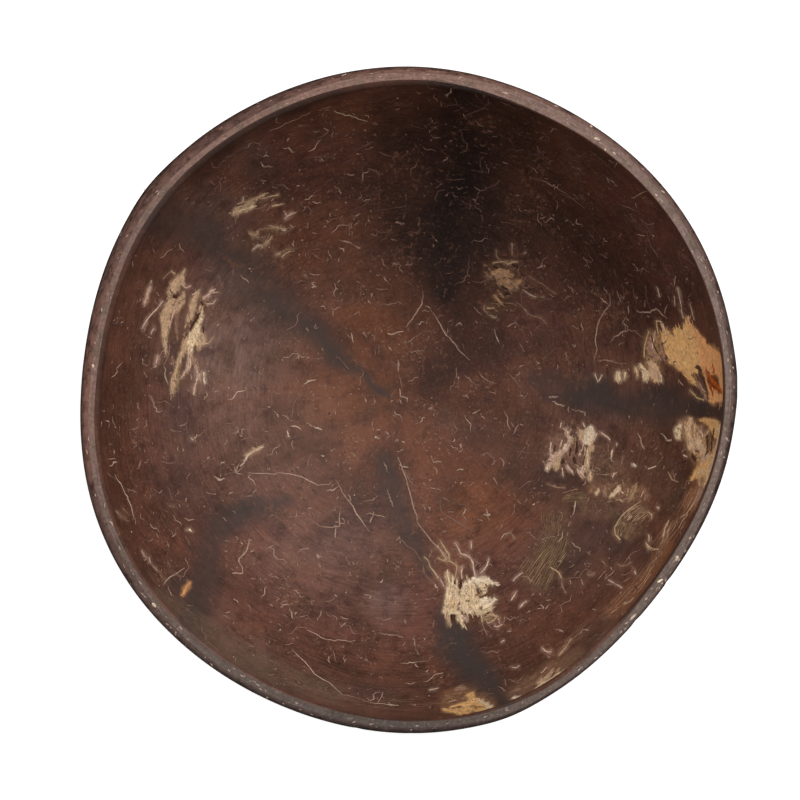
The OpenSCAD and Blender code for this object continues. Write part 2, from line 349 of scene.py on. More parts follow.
# Pale patches that sanding laid bare, followed stroke by stroke: a shade and the routes of strokes in
# it, with seen x, seen y and half-width in pixels for each point
STROKES = [
    # Upper left, the pair of long patches: the left one, then the right one, then the hairs beside them
    ("tan", (184, 271, 1, 180, 278, 3, 175, 287, 5.5), (173, 286, 4.5, 170, 293, 2, 169, 298, 0.8),
     (182, 280, 2, 184, 285, 1.5), (183, 294, 2, 181, 302, 3.5, 177, 309, 3),
     (173, 298, 2, 171, 303, 3),
     (170, 301, 1.5, 168, 308, 4.5, 165, 317, 5, 165, 327, 3.5, 165, 338, 2.2, 166, 347, 1.5)),
    ("pink", (175, 309, 1.2, 172, 318, 1.2, 169.5, 328, 0.8)),
    ("brown", (177, 311, 1.8, 176, 322, 1.6, 177, 337, 1)), ("gap", (173, 296, 2, 177, 296, 1.5)),
    ("brown", (163, 279, 0.8, 170, 272, 0.8)), ("tan", (171, 271, 1, 175, 274, 0.8)),
    ("pink", (166, 341, 1.5, 166, 352, 0.8)), ("brown", (170, 345, 0.6, 169, 355, 0.8, 164, 365, 0.6)),
    ("tan", (197, 294, 2, 194, 301, 3.2, 192, 309, 3.5, 190, 317, 3, 187, 323, 1)),
    ("brown", (199, 296, 2, 203, 300, 1.5, 207, 304, 1)), ("tan", (201, 306, 1.5, 199, 311, 1.5)),
    ("cream", (202, 314, 1.2, 200, 321, 2, 196, 330, 3.8, 192, 339, 5, 190, 349, 3.2, 190, 357, 1.2)),
    ("tan", (202, 334, 2, 202, 341, 3, 199, 347, 2), (203, 345, 0.8, 209, 343, 0.8, 214, 337, 0.6),
     (186, 341, 2.8, 184, 350, 3, 180, 358, 2.5, 177, 367, 2.2, 174, 378, 2.2, 172, 391, 1.5)),
    ("pink", (191, 352, 2, 189, 362, 1.8, 188, 369, 1.4, 184, 374, 0.8, 182, 378, 0.6)),
    ("olive", (178, 368, 1.5, 178, 378, 1.6, 176, 388, 1)), ("brown", (194, 360, 3, 196, 366, 2)),
    ("pink", (196, 365, 1.2, 198, 373, 1.8, 197, 380, 1.4, 194, 392, 1)),
    ("brown", (172, 356, 1, 174, 366, 1)), ("gap", (199, 314, 0.8, 194, 322, 1.5, 190, 329, 1),
     (201, 302, 1, 203, 305, 1), (203.5, 327, 0.8, 203.5, 333, 0.8)),
    ("pink", (213, 290, 1, 210, 294, 1.8, 204, 298, 1.5), (213, 293, 0.6, 218, 292, 0.5),
     (216, 300, 0.7, 213, 304, 0.9, 207, 304, 0.6), (182, 284, 0.8, 186, 288, 0.8, 191, 286, 0.5),
     (151, 284, 0.8, 148, 292, 1.6, 145, 303, 1.8), (192, 295, 0.7, 200, 290, 0.6),
     (163, 301, 0.7, 157, 309, 0.9, 150, 316, 1, 146, 322, 1.2, 142, 329, 0.6),
     (154, 328, 1, 151, 334, 0.7), (158, 357, 1.5, 156, 365, 1)),
    ("pale", (204, 372, 0.7, 204, 379, 0.9, 205, 383, 1)), ("pink", (217, 325, 0.7, 219, 325, 0.7)),
    # Upper left, nearer the top: three smaller ones
    ("tan", (234, 213, 2, 240, 210, 4.5, 247, 206, 4.5, 253, 201, 2.5, 261, 196.5, 0.8)),
    ("cream", (240, 211, 2.2, 248, 209, 2.2, 254, 206, 1)), ("tan", (237, 204, 0.6, 244, 202, 0.6)),
    ("pink", (243, 197, 0.6, 243, 202, 0.8)), ("gap", (237, 206, 0.4, 244, 203.3, 0.8)),
    ("tan", (261, 199, 0.6, 264, 198.5, 0.9, 270, 196.5, 0.7, 278, 195, 0.7),
     (272, 206.5, 0.8, 278, 205, 1, 284, 204, 0.5)), ("brown", (256, 209, 0.8, 266, 207, 0.7)),
    ("pink", (285, 219, 1, 287, 216, 1.5, 293, 214, 0.6), (285, 213, 0.6, 287, 216, 1)),
    ("tan", (250, 233, 1.5, 256, 235, 2.8, 258, 232, 1.5)), ("brown", (253, 238, 1.5, 262, 238, 1.2),
     (258, 230, 1, 265, 229, 1.5, 273, 227, 1.8)),
    ("tan", (271, 227, 1.5, 277, 228, 1.8, 283, 229, 1.2)),
    ("brown", (283, 230, 1.2, 290, 228, 0.7, 296, 226, 0.5)), ("pale", (282, 230, 1, 285, 230.5, 1)),
    ("tan", (272, 237, 1, 267, 243, 2.2, 263, 246, 1.5)), ("brown", (266, 236, 1.2, 262, 244, 1.5)),
    ("pink", (253, 249, 1, 258, 246, 1.5, 263, 247, 1)), ("brown", (252, 243, 0.7, 256, 246, 0.8),
     (270, 233, 1.2, 268, 238, 1), (278, 231, 1, 276, 236, 0.8)),
    ("tan", (276, 254, 1.2, 280, 253.5, 1.6)), ("brown", (281, 252, 1.2, 286, 250, 1.5, 291, 250, 1.5)),
    ("tan", (282, 257, 1, 287, 253, 1.2, 291, 251, 0.8)), ("brown", (273, 250, 0.6, 276, 253, 0.8)),
    # Middle right, high: a dim one with loose ends
    ("brown", (486, 273, 1, 488, 277, 2.5, 491, 278, 1.5)),
    ("wheat", (494, 274, 3, 499, 276, 4.5, 502, 282, 3), (499, 270, 2, 505, 273, 3, 511, 276, 3),
     (503, 279, 3, 508, 284, 4, 513, 287, 4), (512, 283, 3, 517, 283, 3.5, 521, 280.5, 1.5)),
    ("brown", (514, 288, 2.5, 517, 290, 1.5), (496, 282, 1.2, 500, 288, 1.2),
     (508, 290, 1.2, 512, 294, 1), (498, 291, 1.2, 501, 297, 1.5)),
    ("umber", (496, 279.5, 0.7, 503, 278.5, 0.8), (508, 277.5, 0.7, 513, 280, 0.9)),
    ("gap", (502, 286, 0.6, 507, 289, 0.9)),
    ("tan", (493, 263, 0.7, 500, 262, 1, 505, 262, 1, 509, 265, 1.3, 513, 262, 1, 518, 262, 0.7)),
    ("brown", (496, 250, 0.8, 496, 256, 0.9, 499, 260, 0.8),
     (512, 244, 1, 512, 248, 0.8, 512, 256, 0.6), (523, 254, 1, 526, 252, 1),
     (518, 268, 0.7, 519, 276, 0.6), (484, 265, 1.2, 487, 266, 1)),
    ("wheat", (497, 290, 0.7, 501, 294, 0.9, 504, 298, 0.8),
     (495, 297, 1.5, 498, 300, 2.5, 501, 303, 2, 503, 304, 1)),
    ("brown", (505, 297, 1.5, 509, 296, 1.2), (505, 303, 1, 513, 304, 1), (507, 289, 1.5, 509, 291, 1),
     (491, 303, 0.8, 497, 304, 0.9, 500, 307, 0.8)),
    ("tan", (487, 308, 0.8, 490, 308.5, 1.3, 494, 308, 0.9)), ("brown", (494, 309, 0.8, 498, 312, 0.9),
     (484, 305, 1.5, 483, 309, 1, 488, 315, 0.7, 493, 317, 0.9)),
    ("tan", (492, 317, 0.7, 495.5, 318, 1.2)),
    ("pink", (522, 289, 0.7, 527, 293, 0.9, 532, 296, 0.8, 536, 297, 0.6)),
    ("brown", (521, 284, 0.7, 524, 288, 1.2, 528, 288, 1, 530, 285, 0.9),
     (540, 297.5, 1.2, 544, 297.5, 1),
     (517, 303, 1.2, 520, 304, 0.8, 524, 309, 0.8, 529, 315, 0.8, 534, 316.5, 1, 541, 318, 1,
      546, 324, 0.7), (541, 283, 0.6, 548, 289, 0.7, 556, 294, 0.7),
     (529, 276, 0.8, 535, 280, 0.7, 541, 284, 0.6)), ("gap", (512, 264, 1, 518, 267, 1.2),
     (494, 266, 1.2, 498, 268, 1), (505, 293, 1.5, 508, 294, 1)),
    # Right, against the rim: the large gold and orange one over the smoke
    ("gold", (663, 335, 1.5, 667, 349, 2.5, 671, 362, 3),
     (667, 333, 2.5, 670, 343, 6, 675, 356, 6, 681, 366, 4.5),
     (677, 332, 4, 680, 345, 6, 686, 360, 7, 690, 370, 5),
     (687, 323, 2, 688, 335, 7, 692, 352, 9, 694, 366, 7)),
    ("orange", (691, 326, 1.5, 697, 338, 5, 702, 350, 9, 705, 362, 8),
     (708, 349, 4, 712, 358, 9, 713, 368, 8),
     (716, 352, 3, 719, 362, 3.5, 721, 376, 2.5, 722, 392, 2, 721, 401, 2), (712, 392, 5, 714, 398, 6)),
    ("gold", (684, 372, 2, 690, 378, 2.5, 694, 383, 1.5)),
    ("brown", (697, 380, 1.5, 701, 388, 1.5, 706, 398, 1.5)),
    ("olive", (690, 390, 1, 697, 398, 1, 704, 400, 1)),
    ("rust", (708, 372, 1.5, 711, 380, 4, 717, 386, 4.5, 720, 390, 2), (713, 364, 1, 714, 372, 1.5),
     (706, 368, 0.8, 709, 376, 1), (710, 384, 1.5, 713, 394, 1.5)), ("gap", (697, 366, 2, 701, 371, 2),
     (703, 377, 1.2, 706, 386, 1.5, 708, 396, 1.2), (697, 374, 1, 699, 381, 1)),
    ("orange", (703, 370, 1.3, 707, 382, 1.2, 710, 395, 1.5)), ("olive", (692, 326, 0.8, 698, 334, 1),
     (656, 321, 0.8, 657, 327, 1, 658, 334, 1.2)), ("tan", (656, 321, 0.7, 661, 321.5, 0.7),
     (661, 322, 0.8, 664, 329, 1.2, 665, 334, 1.5)),
    ("olive", (649, 331, 0.8, 646, 340, 1.2, 644, 350, 1.2, 644, 357, 0.8)),
    ("brown", (655, 333, 1, 652, 342, 2.4, 650, 350, 4, 656, 357, 2.6)),
    ("tan", (654, 338, 0.9, 652, 348, 1.2)), ("gap", (651, 335, 0.7, 654, 345, 0.8, 658, 353, 0.8)),
    ("brown", (660, 342, 1, 661, 350, 1.5, 664, 358, 1.5)),
    ("cream", (641, 366, 1.8, 645, 373, 3, 646, 380, 2)),
    ("tan", (651, 363, 3, 655, 371, 5, 659, 379, 3), (650, 372, 3, 655, 380, 2)),
    ("pale", (661, 375, 1.2, 661.5, 382, 0.8)), ("tan", (636, 368, 1.5, 637, 376, 1.5)),
    ("cream", (618, 373, 1.8, 619, 380, 2.5), (625, 373, 1.5, 624, 378, 1.5)),
    ("pink", (599, 381, 0.7, 602, 375, 0.8), (595, 374, 0.6, 598, 382, 0.6),
     (678, 288, 0.5, 680, 300, 0.6, 683, 318, 0.9), (657, 287, 0.4, 660, 297, 0.5),
     (690, 303, 0.4, 692, 312, 0.5, 694, 320, 0.4), (674, 296, 0.4, 675, 306, 0.4)),
    # Right, under the smoke: a mottled one
    ("cream", (680, 425, 2.5, 678.5, 432, 3.5, 678, 437, 2.5)), ("brown", (679, 420, 1.2, 682, 424, 1),
     (684, 421, 1.5, 684, 430, 1.5)), ("tan", (690, 420, 2.5, 688, 430, 3, 688, 440, 2, 691, 449, 2.5),
     (694, 424, 1.5, 694, 434, 1.5, 696, 444, 1.5),
     (698, 436, 1.5, 700, 446, 3, 703, 454, 3.5, 703, 459, 1.5)),
    ("gold", (704, 420, 2, 711, 423, 4, 717, 425, 4, 721, 424, 2)),
    ("orange", (700, 421, 1.5, 707, 422, 1.5)),
    ("tan", (721, 424, 2, 719, 438, 2.2, 717, 448, 1.8, 715, 454, 1.5), (704, 436, 1.2, 708, 431, 1.5)),
    ("gap", (714, 431, 1.5, 712, 440, 3, 712, 450, 2.5), (707, 436, 1.8, 708, 447, 2.2, 707, 453, 1),
     (692, 455, 2, 696, 460, 1.5)), ("brown", (701, 428, 2, 699, 432, 1.5)),
    ("gold", (713, 455, 1.5, 709, 462, 4, 703, 468, 5, 697, 475, 4.5, 692, 479, 1.5),
     (703, 471, 4, 708, 477, 3, 706, 484, 2)), ("tan", (700, 478, 1.5, 699, 486, 1),
     (717, 446, 2, 714, 460, 3.5, 710, 472, 3.5, 706, 483, 2)),
    ("pale", (712, 460, 1.5, 707, 467, 3, 700, 474, 2.5)), ("cream", (707, 473, 1.5, 706, 481, 2)),
    ("tan", (686, 428, 2, 690, 438, 3, 694, 447, 2.5), (704, 452, 3, 708, 458, 3.5)),
    ("cream", (697, 440, 1.5, 699, 448, 2), (704, 455, 1.5, 708, 459, 1.5)),
    ("pale", (717, 424, 1.5, 719, 432, 1.5)), ("gold", (712, 426, 3, 715, 434, 3)),
    ("cream", (688, 424, 1.5, 690, 430, 1.8)), ("pink", (700, 431, 1.2, 703, 436, 1.8),
     (683, 455, 0.7, 687, 457, 0.8)), ("brown", (668, 472, 1, 672, 480, 1, 678, 482, 0.8),
     (673, 474, 0.6, 675, 480, 0.6)),
    # Right of the middle: the mottled pinkish one
    ("pale", (591, 428, 2, 588, 434, 6, 588, 440, 5.5), (589, 436, 3, 590, 439, 2.5)),
    ("tan", (583, 432, 3, 581, 438, 2.5)), ("pink", (596, 434, 1.2, 594, 440, 1.5)),
    ("tan", (591, 444, 2.2, 588, 454, 2.2, 587, 462, 3, 585, 469, 2.5)),
    ("cream", (587, 450, 1, 587, 463, 1.5)), ("pink", (584, 443, 1.5, 582, 450, 1, 579.5, 455, 1.2)),
    ("tan", (585, 447, 1, 584, 458, 0.8)), ("pink", (583, 467, 1.5, 580, 472, 2.5, 583, 476, 2),
     (577, 469, 1, 579, 474, 1)), ("tan", (590, 471, 2.5, 590, 479, 2)),
    ("brown", (593, 465, 1, 592, 470, 1)), ("pink", (568, 429.5, 2.2, 567, 435, 1.8, 570, 438, 1.5),
     (564, 429, 0.8, 566, 432, 0.8),
     (570, 439, 2, 567, 446, 3.2, 563, 451, 3.2, 558, 455, 3, 553, 458, 2.5)),
    ("pale", (563, 449, 1.5, 566, 445, 1.5)), ("pink", (562, 440, 1.2, 560, 447, 1.2),
     (551, 443, 1.3, 550, 450, 1.2, 551, 457, 1.5)), ("brown", (556, 442, 0.7, 554, 450, 0.8)),
    ("tan", (558, 458, 4, 555, 464, 4, 556, 468, 2)), ("pink", (552, 460, 2.5, 548, 466, 2.5)),
    ("pale", (548, 464, 1.2, 547, 468.5, 1.8)), ("brown", (543, 461, 1, 545, 466, 1)),
    ("gap", (563, 459, 1.5, 563, 463, 1.5), (555, 445, 0.8, 554, 451, 1),
     (577, 442, 1.3, 577, 452, 1.5), (574, 458, 1.5, 575, 463, 1.2), (585, 456, 0.6, 583, 465, 0.8),
     (571, 448, 1, 570, 456, 1)), ("olive", (575, 437, 1.2, 575, 448, 0.9)),
    ("brown", (578, 428, 1.5, 577, 434, 1.5)), ("pink", (567, 466, 1.8, 570, 470, 1.8, 573, 472.5, 1),
     (562, 468, 1, 563, 476, 0.7)), ("brown", (571, 453, 0.7, 571, 464, 0.6),
     (574, 464, 1.5, 578, 467, 1)), ("pink", (561, 423, 0.8, 560, 428, 0.8),
     (583, 423, 1, 584.5, 427, 1)), ("brown", (558, 434, 0.8, 556, 440, 0.8),
     (547, 484, 0.7, 551, 485.5, 0.9, 557, 487.5, 1, 565, 488, 0.7),
     (563, 493, 0.6, 569, 491, 0.8, 577, 489, 0.6), (600, 470, 0.8, 595, 467, 0.7)),
    ("pink", (601, 433, 1, 606, 436, 1, 610, 440, 0.8)), ("brown", (571, 421, 0.8, 573, 421, 0.8)),
    # Lower right: scattered bits above the combed place
    ("cream", (599, 490, 1.8, 596, 493, 1.5), (619, 488, 1.5, 615, 493, 2.2, 612, 496.5, 1.8)),
    ("pink", (619, 489, 0.8, 623, 493, 0.9)), ("olive", (636, 486, 1.2, 633, 492, 2.5, 630, 498, 1.5)),
    ("tan", (628, 489, 0.8, 627, 496, 0.9)), ("brown", (604, 487, 1.5, 604, 495, 2),
     (608, 488, 1, 610, 492, 1)), ("pink", (643, 492, 0.8, 641, 497, 0.7)),
    ("tan", (616, 500, 0.7, 620, 499.5, 0.9, 623, 502, 0.7)), ("brown", (607, 502, 0.8, 612, 501, 0.7),
     (622, 480, 0.9, 623, 484, 0.9), (629, 478, 0.8, 628, 481, 0.9)),
    ("pink", (617, 472, 0.9, 613, 475.5, 1.5)), ("brown", (611, 472, 1, 611, 477, 1)),
    ("pink", (612, 450, 1.2, 610.5, 459, 1.2)), ("brown", (608, 444, 0.6, 608.5, 452, 0.6),
     (623, 457, 1, 621, 464, 0.9)), ("pink", (617, 443, 0.6, 616.5, 446, 0.6)),
    ("pale", (633.5, 464, 1.3, 635, 466, 1.3)),
    ("pink", (648, 469, 0.9, 652, 467.5, 0.9, 656, 466, 0.6)), ("brown", (658, 464, 0.4, 663, 457, 0.5),
     (631, 451, 0.9, 633, 452, 0.9), (642, 446, 0.9, 644, 448, 0.9)),
    ("pink", (657, 507, 0.9, 659, 508, 0.9)),
    # Lower right, along the rim: streaks that run with it
    ("brown", (704, 484, 2.5, 699, 494, 2.5, 694, 504, 1.5)),
    ("tan", (699, 491, 0.7, 695, 500, 0.9, 690, 510, 0.9), (693, 497, 0.5, 688, 506, 0.6),
     (692, 506, 0.8, 686, 514, 0.9, 681, 517, 1.2), (688, 514, 0.7, 683, 520, 0.9, 679, 528, 0.8)),
    ("brown", (687, 516, 0.6, 681, 528, 0.6), (673, 520, 0.8, 670, 526, 0.9, 663, 538, 1)),
    ("tan", (668, 522, 0.6, 665, 529, 1.2, 663, 537, 1.4)), ("brown", (669, 530, 1.2, 667, 537, 1.5),
     (676, 524, 0.6, 672, 531, 0.6)), ("tan", (648.5, 534, 0.8, 649, 541, 1),
     (646, 544, 0.8, 649, 548, 1.5, 655, 549, 0.7)),
    ("umber", (664, 542, 2.5, 656, 560, 3, 648, 572, 2)),
    ("tan", (651, 573, 0.5, 644, 584, 0.7, 637, 593, 0.7)),
    ("umber", (640, 583, 1.2, 634, 591, 1.2, 631, 597, 0.9)),
    ("tan", (633, 598, 1.2, 629, 602, 1.5, 624, 604, 1.3)),
    ("umber", (622, 592, 0.8, 612, 601, 0.9, 602, 611, 0.9)), ("brown", (620, 606, 1.2, 614, 611, 1),
     (616, 563, 0.6, 621, 566.5, 0.9, 627, 565, 0.8, 631, 562, 0.7), (631, 566, 0.5, 636, 570, 0.6)),
    ("pink", (634.5, 571, 1, 635.5, 574, 1),
     (608, 580, 0.7, 612, 582, 1, 616, 584, 0.8, 622, 588, 0.6)),
    ("brown", (602, 561, 0.8, 606, 566, 0.9), (588, 575, 1.3, 593, 574, 1.5)),
    # Lower left: small bits near the rim and by the smoke
    ("pink", (149, 557, 1.2, 151, 563, 1), (142, 551, 0.9, 144, 556, 0.9),
     (153, 566, 0.8, 157, 570, 0.8)), ("orange", (183, 594, 1.2, 186, 588, 2, 189, 583, 1.4)),
    ("brown", (168, 562, 0.8, 171, 567, 0.7), (160, 575, 0.9, 166, 581, 0.8),
     (117, 512, 1.2, 126, 520, 1.5), (123, 508, 0.8, 128, 514, 1),
     (283, 552, 0.8, 290, 557, 0.9, 294, 563, 0.8), (296, 556, 0.7, 298, 566, 0.7),
     (266, 549, 1.3, 274, 545, 1.2)), ("pale", (189, 529, 1.1, 191.5, 531, 1.1)),
    ("pink", (191, 438, 0.9, 193, 440, 1)), ("brown", (133, 441, 0.9, 136, 444, 1)),
    ("pink", (287, 431, 0.8, 289, 437, 0.9)), ("brown", (169, 506, 0.8, 175, 507, 0.6)),
    ("tan", (246, 456, 0.8, 253, 451, 2.3, 261, 447, 1.8)), ("pink", (317, 555, 0.7, 319, 558, 0.8)),
    # The combed places' own edges and hooks
    ("tan", (641, 501, 0.6, 630, 508, 0.8, 620, 517, 1, 615, 526, 1, 613.5, 533, 1, 620, 540, 0.8),
     (648, 512, 0.6, 652, 515, 0.8, 651, 519, 0.7),
     (550, 567, 0.8, 555, 570, 1, 559, 573, 1, 561, 578, 0.8)),
    ("pink", (513, 581, 1, 516, 577, 1, 520, 574, 0.9, 523, 573, 0.7),
     (511, 600, 0.9, 514, 595, 0.9, 517, 591, 0.7), (520, 607, 1, 523, 603, 1.2, 526, 601, 1)),
    ("brown", (506, 535, 0.8, 510, 532, 0.7, 513, 536, 1.1, 514, 539, 1), (535, 544, 0.8, 538, 546, 1),
     (568, 526, 1, 570, 522, 0.8), (567, 532, 1, 567, 536, 0.8), (558, 531, 0.9, 558, 536, 0.7),
     (562, 580, 1, 561, 584, 1, 565, 592, 0.8), (570, 580, 0.8, 571, 584, 0.8),
     (581, 580, 0.8, 583, 585, 1)),
    # Bottom, against the rim: the gold one and the long one beside it
    ("gold", (443, 709.5, 0.8, 452, 711, 2, 460, 712.5, 2.2, 468, 713, 1.5),
     (470, 695, 2.5, 473, 701, 3.5, 480, 704, 4), (452, 706, 1, 462, 704, 1.8, 470, 704, 2.5),
     (462, 708, 1.5, 475, 710, 2, 485, 709, 1.5)),
    ("cream", (478, 700, 1.5, 486, 705, 2.5, 491, 707, 2)),
    ("ochre", (472, 706, 1, 480, 707, 1.8, 483, 708, 1), (452, 708, 0.8, 458, 708, 0.9)),
    ("brown", (456, 689, 1.5, 462, 687, 2, 466, 689, 1.2), (445, 696, 0.8, 450, 697, 1),
     (452, 694, 0.6, 462, 692.5, 0.7)), ("pink", (449, 702, 0.7, 456, 700, 0.7)),
    ("brown", (461, 698, 1.2, 466, 698, 1)), ("pale", (512, 698, 1.2, 515, 697.5, 1.8, 519, 697, 1)),
    ("tan", (519, 697, 1, 527, 694, 1.2, 533, 690, 1.2), (538, 683, 1.5, 546, 678, 2, 551, 672, 1.5)),
    ("cream", (533, 691, 1, 541, 686, 2, 549, 681, 2.2, 556, 676, 1.8, 561, 671, 1)),
    ("pink", (541, 673, 1, 547, 667, 1.2)), ("brown", (541, 676, 1.2, 536, 682, 1)),
    ("olive", (556, 672, 1.5, 559, 669, 1)), ("brown", (524, 688, 1, 530, 685, 1.3, 535, 683, 1),
     (512, 691, 1.5, 518, 690, 1.5), (561, 671, 0.8, 568, 667, 0.7, 578, 661, 0.7),
     (570, 666, 0.5, 582, 657, 0.6)), ("pink", (542, 648, 0.8, 546, 651.5, 1.2, 551, 652, 1)),
    ("tan", (559, 655, 1, 562, 651, 1.2, 566, 647, 1, 571, 639, 0.9)),
    ("pink", (512, 667, 0.8, 516, 668, 1.1, 519, 665.5, 0.8)),
    ("brown", (505, 679, 0.6, 506, 685, 0.6)), ("pink", (501, 642, 0.9, 504, 640, 0.8),
     (430, 690, 0.9, 438, 688, 1)),
    # Low in the middle: the brightest one, with its crown of hairs
    ("cream", (447, 572, 0.7, 448, 578, 1.8, 450, 584, 1.5), (453, 577, 0.8, 452, 583, 2, 451, 589, 2),
     (457, 580, 0.8, 456, 587, 1.6), (452, 582, 1, 456, 587, 1, 459, 589, 1),
     (449, 588, 2.5, 448, 600, 3, 446, 611, 2.5), (455, 591, 4, 455, 600, 5, 453, 610, 4.5),
     (464, 587, 3, 465, 597, 5, 466, 607, 5, 469, 612, 3),
     (472, 588, 5, 474, 597, 5, 475, 606, 5, 477, 611, 2.5), (483, 586, 4, 484, 592, 2.5)),
    ("pale", (463, 587, 2, 468, 583, 3, 475, 581, 4, 484, 580, 4, 490, 582, 2.5, 494, 583, 1),
     (480, 602, 4, 487, 603, 5, 492, 602, 3), (493, 598, 1.5, 496, 599, 0.8)),
    ("cream", (491, 607, 2.5, 485, 611, 2, 480, 612, 2)), ("pale", (490, 581, 1.5, 493, 583, 1.2),
     (466, 609, 3, 471, 611, 1.5)), ("gold", (452, 601, 3, 452, 607, 3)),
    ("pink", (453, 592, 2, 454, 598, 1.5)), ("tan", (447, 613, 2, 448, 620, 1.5, 450, 625, 1)),
    ("cream", (456, 611, 2.2, 460, 618, 2.2, 462, 624, 1.5, 464, 627, 1)),
    ("pink", (463, 617, 2.5, 467, 620, 1.5)), ("gap", (453, 615, 2.5, 453, 620, 2),
     (461, 582, 1.5, 461, 587, 1.5), (455, 580, 0.8, 455, 584, 0.8)),
    ("ochre", (476, 595, 1, 480, 595, 2), (466, 601, 1, 469, 601, 1), (486, 584, 0.8, 487, 587, 1)),
    ("gap", (485, 596, 0.6, 487, 594, 1)), ("tan", (481, 616, 1.2, 482, 622, 1.2),
     (487, 615, 1, 492, 614, 1.2, 497, 616, 1.5), (497, 616, 1, 494, 620, 0.9, 488, 623, 1)),
    ("olive", (484, 618, 1.2, 490, 619, 1.8)), ("brown", (482, 623, 0.7, 484, 629, 0.8, 487, 635, 0.7)),
    ("pink", (498, 618, 0.6, 499.5, 623, 0.7), (494, 626, 0.6, 498, 626.5, 0.9, 502, 624.5, 0.7)),
    ("tan", (437, 546, 1.3, 441, 551, 1, 444, 556, 1, 447, 561, 0.9, 442, 560, 0.8, 438, 558, 0.7),
     (440, 541, 0.8, 444, 547, 0.9, 449, 555, 1, 449, 560, 0.8),
     (448, 561, 0.9, 453, 563, 0.9, 457, 566, 1.2, 456, 572, 0.7, 455, 577, 0.6)),
    ("pink", (455, 543, 0.9, 459, 549, 1, 461, 555, 0.9, 466, 555, 1.1, 469, 557, 1, 473, 561, 1.2,
              473, 567, 1.2, 475, 575, 0.9), (489, 558, 0.7, 487, 565, 1, 484, 569, 1, 480, 573, 0.9),
     (462, 567, 1.2, 461, 574, 1, 462, 579, 1), (471, 541, 0.7, 471, 548, 0.9)),
    ("tan", (467, 576, 0.7, 467, 583, 1.5),
     (424, 557, 0.9, 428, 560, 1, 430, 567, 1, 435, 573, 1.1, 438, 578, 1.1)),
    ("brown", (432, 551, 0.6, 429, 557, 0.6),
     (423, 565, 0.5, 424, 573, 0.6, 430, 580, 0.7, 435, 584, 0.6)),
    ("pink", (440, 579, 0.6, 444, 586, 0.6)),
]
# Combed places: fine even lines between two edges. The shade, how many lines, and the two edges'
# routes of seen x and seen y, each with as many points
COMBS = [
    ("tan", 12, (640, 501, 630, 508, 620, 517), (653, 513, 645, 519, 637, 526)),
    ("olive", 12, (620, 517, 615, 526, 614, 534), (637, 526, 632, 533, 626, 540)),
    ("moss", 11, (540, 512, 541, 521, 543, 530), (563, 514, 562, 523, 560, 532)),
    ("olive", 11, (553, 541, 541, 553, 530, 568, 522, 580), (571, 551, 562, 563, 553, 577, 547, 591)),
    ("moss", 14, (549, 522, 538, 540, 524, 560, 514, 574), (572, 530, 566, 552, 556, 574, 546, 590)),
    ("moss", 8, (562, 496, 572, 493, 584, 492), (560, 503, 574, 502, 590, 503)),
    ("brown", 9, (704, 480, 696, 500, 682, 524, 664, 549), (691, 480, 681, 501, 667, 523, 650, 546)),
    ("tan", 3, (706, 484, 698, 503, 686, 524, 672, 545), (698, 482, 689, 502, 677, 522, 661, 543)),
    ("brown", 8, (660, 560, 644, 586, 624, 608, 604, 622), (645, 560, 630, 582, 612, 601, 594, 615)),
    ("tan", 2, (662, 556, 646, 582, 628, 602, 612, 616), (653, 554, 638, 580, 620, 600, 604, 612)),
    ("brown", 7, (594, 628, 578, 642, 562, 655, 546, 664), (588, 618, 572, 632, 556, 645, 540, 655)),
    ("brown", 5, (190, 640, 214, 662, 240, 680, 268, 693), (196, 628, 220, 650, 246, 668, 272, 682)),
    ("gap", 7, (290, 664, 340, 684, 390, 692, 436, 690), (300, 640, 344, 662, 390, 672, 434, 670)),
    ("gap", 5, (120, 380, 116, 420, 118, 460, 126, 500), (136, 380, 132, 420, 134, 460, 142, 500)),
    ("umber", 7, (350, 706, 390, 710, 420, 711, 446, 708), (352, 694, 390, 698, 420, 699, 444, 697)),
]
# Soft paint under the combed places and round the patches: colour, strength, and a route as above
HALOS = [
    ("#68523f", 0.6, (556, 520, 10, 556, 545, 13, 538, 577, 13)),
    ("#765e47", 0.65, (637, 508, 9, 628, 526, 12)),
    ("#604a3c", 0.5, (618, 468, 16, 660, 478, 18, 680, 500, 12)),
    ("#735845", 0.6, (590, 506, 11, 618, 508, 8)), ("#8a6650", 0.75, (596, 490, 7, 640, 494, 9)),
    ("#6e4a35", 0.5, (688, 500, 7, 672, 532, 7, 660, 552, 5)),
    ("#84593c", 0.75, (704, 480, 7, 690, 505, 7)),
    ("#86583d", 0.75, (666, 547, 5, 644, 583, 6, 614, 611, 7)),
    ("#63422a", 0.6, (255, 241, 7, 272, 237, 5)),
    ("#6e4d37", 0.7, (497, 275, 11, 510, 284, 12, 498, 306, 8)),
    ("#876755", 0.7, (562, 446, 12, 582, 456, 13)),
    ("#a17c58", 0.85, (688, 428, 8, 702, 446, 12, 708, 466, 9, 702, 482, 5)),
    ("#8a6848", 0.8, (655, 340, 7, 652, 372, 8)), ("#5f4029", 0.5, (176, 300, 7, 170, 330, 7)),
    ("#66482f", 0.5, (196, 310, 7, 188, 345, 9, 182, 375, 7)),
    ("#5a4028", 0.6, (470, 600, 22, 462, 612, 14)), ("#5c4230", 0.4, (568, 496, 6, 584, 496, 6)),
    ("#8c684a", 0.7, (448, 700, 6, 470, 698, 9, 488, 704, 5)),
    ("#876851", 0.7, (516, 694, 6, 548, 674, 7, 580, 656, 6)),
    ("#775b48", 0.65, (560, 450, 16, 600, 462, 15, 620, 480, 11)),
    ("#6a5847", 0.65, (158, 596, 6, 200, 628, 10, 242, 656, 10, 290, 678, 9, 335, 695, 6)),
]

# Paint fades from this far inside a route's edge to these distances outside it, in seen pixels, and no
# route's paint lies further from its points than the last
PAINT_INSET = 1.5
HALO_FADE = 7.0
STROKE_FADE = 3.0
PAINT_REACH = 24.0

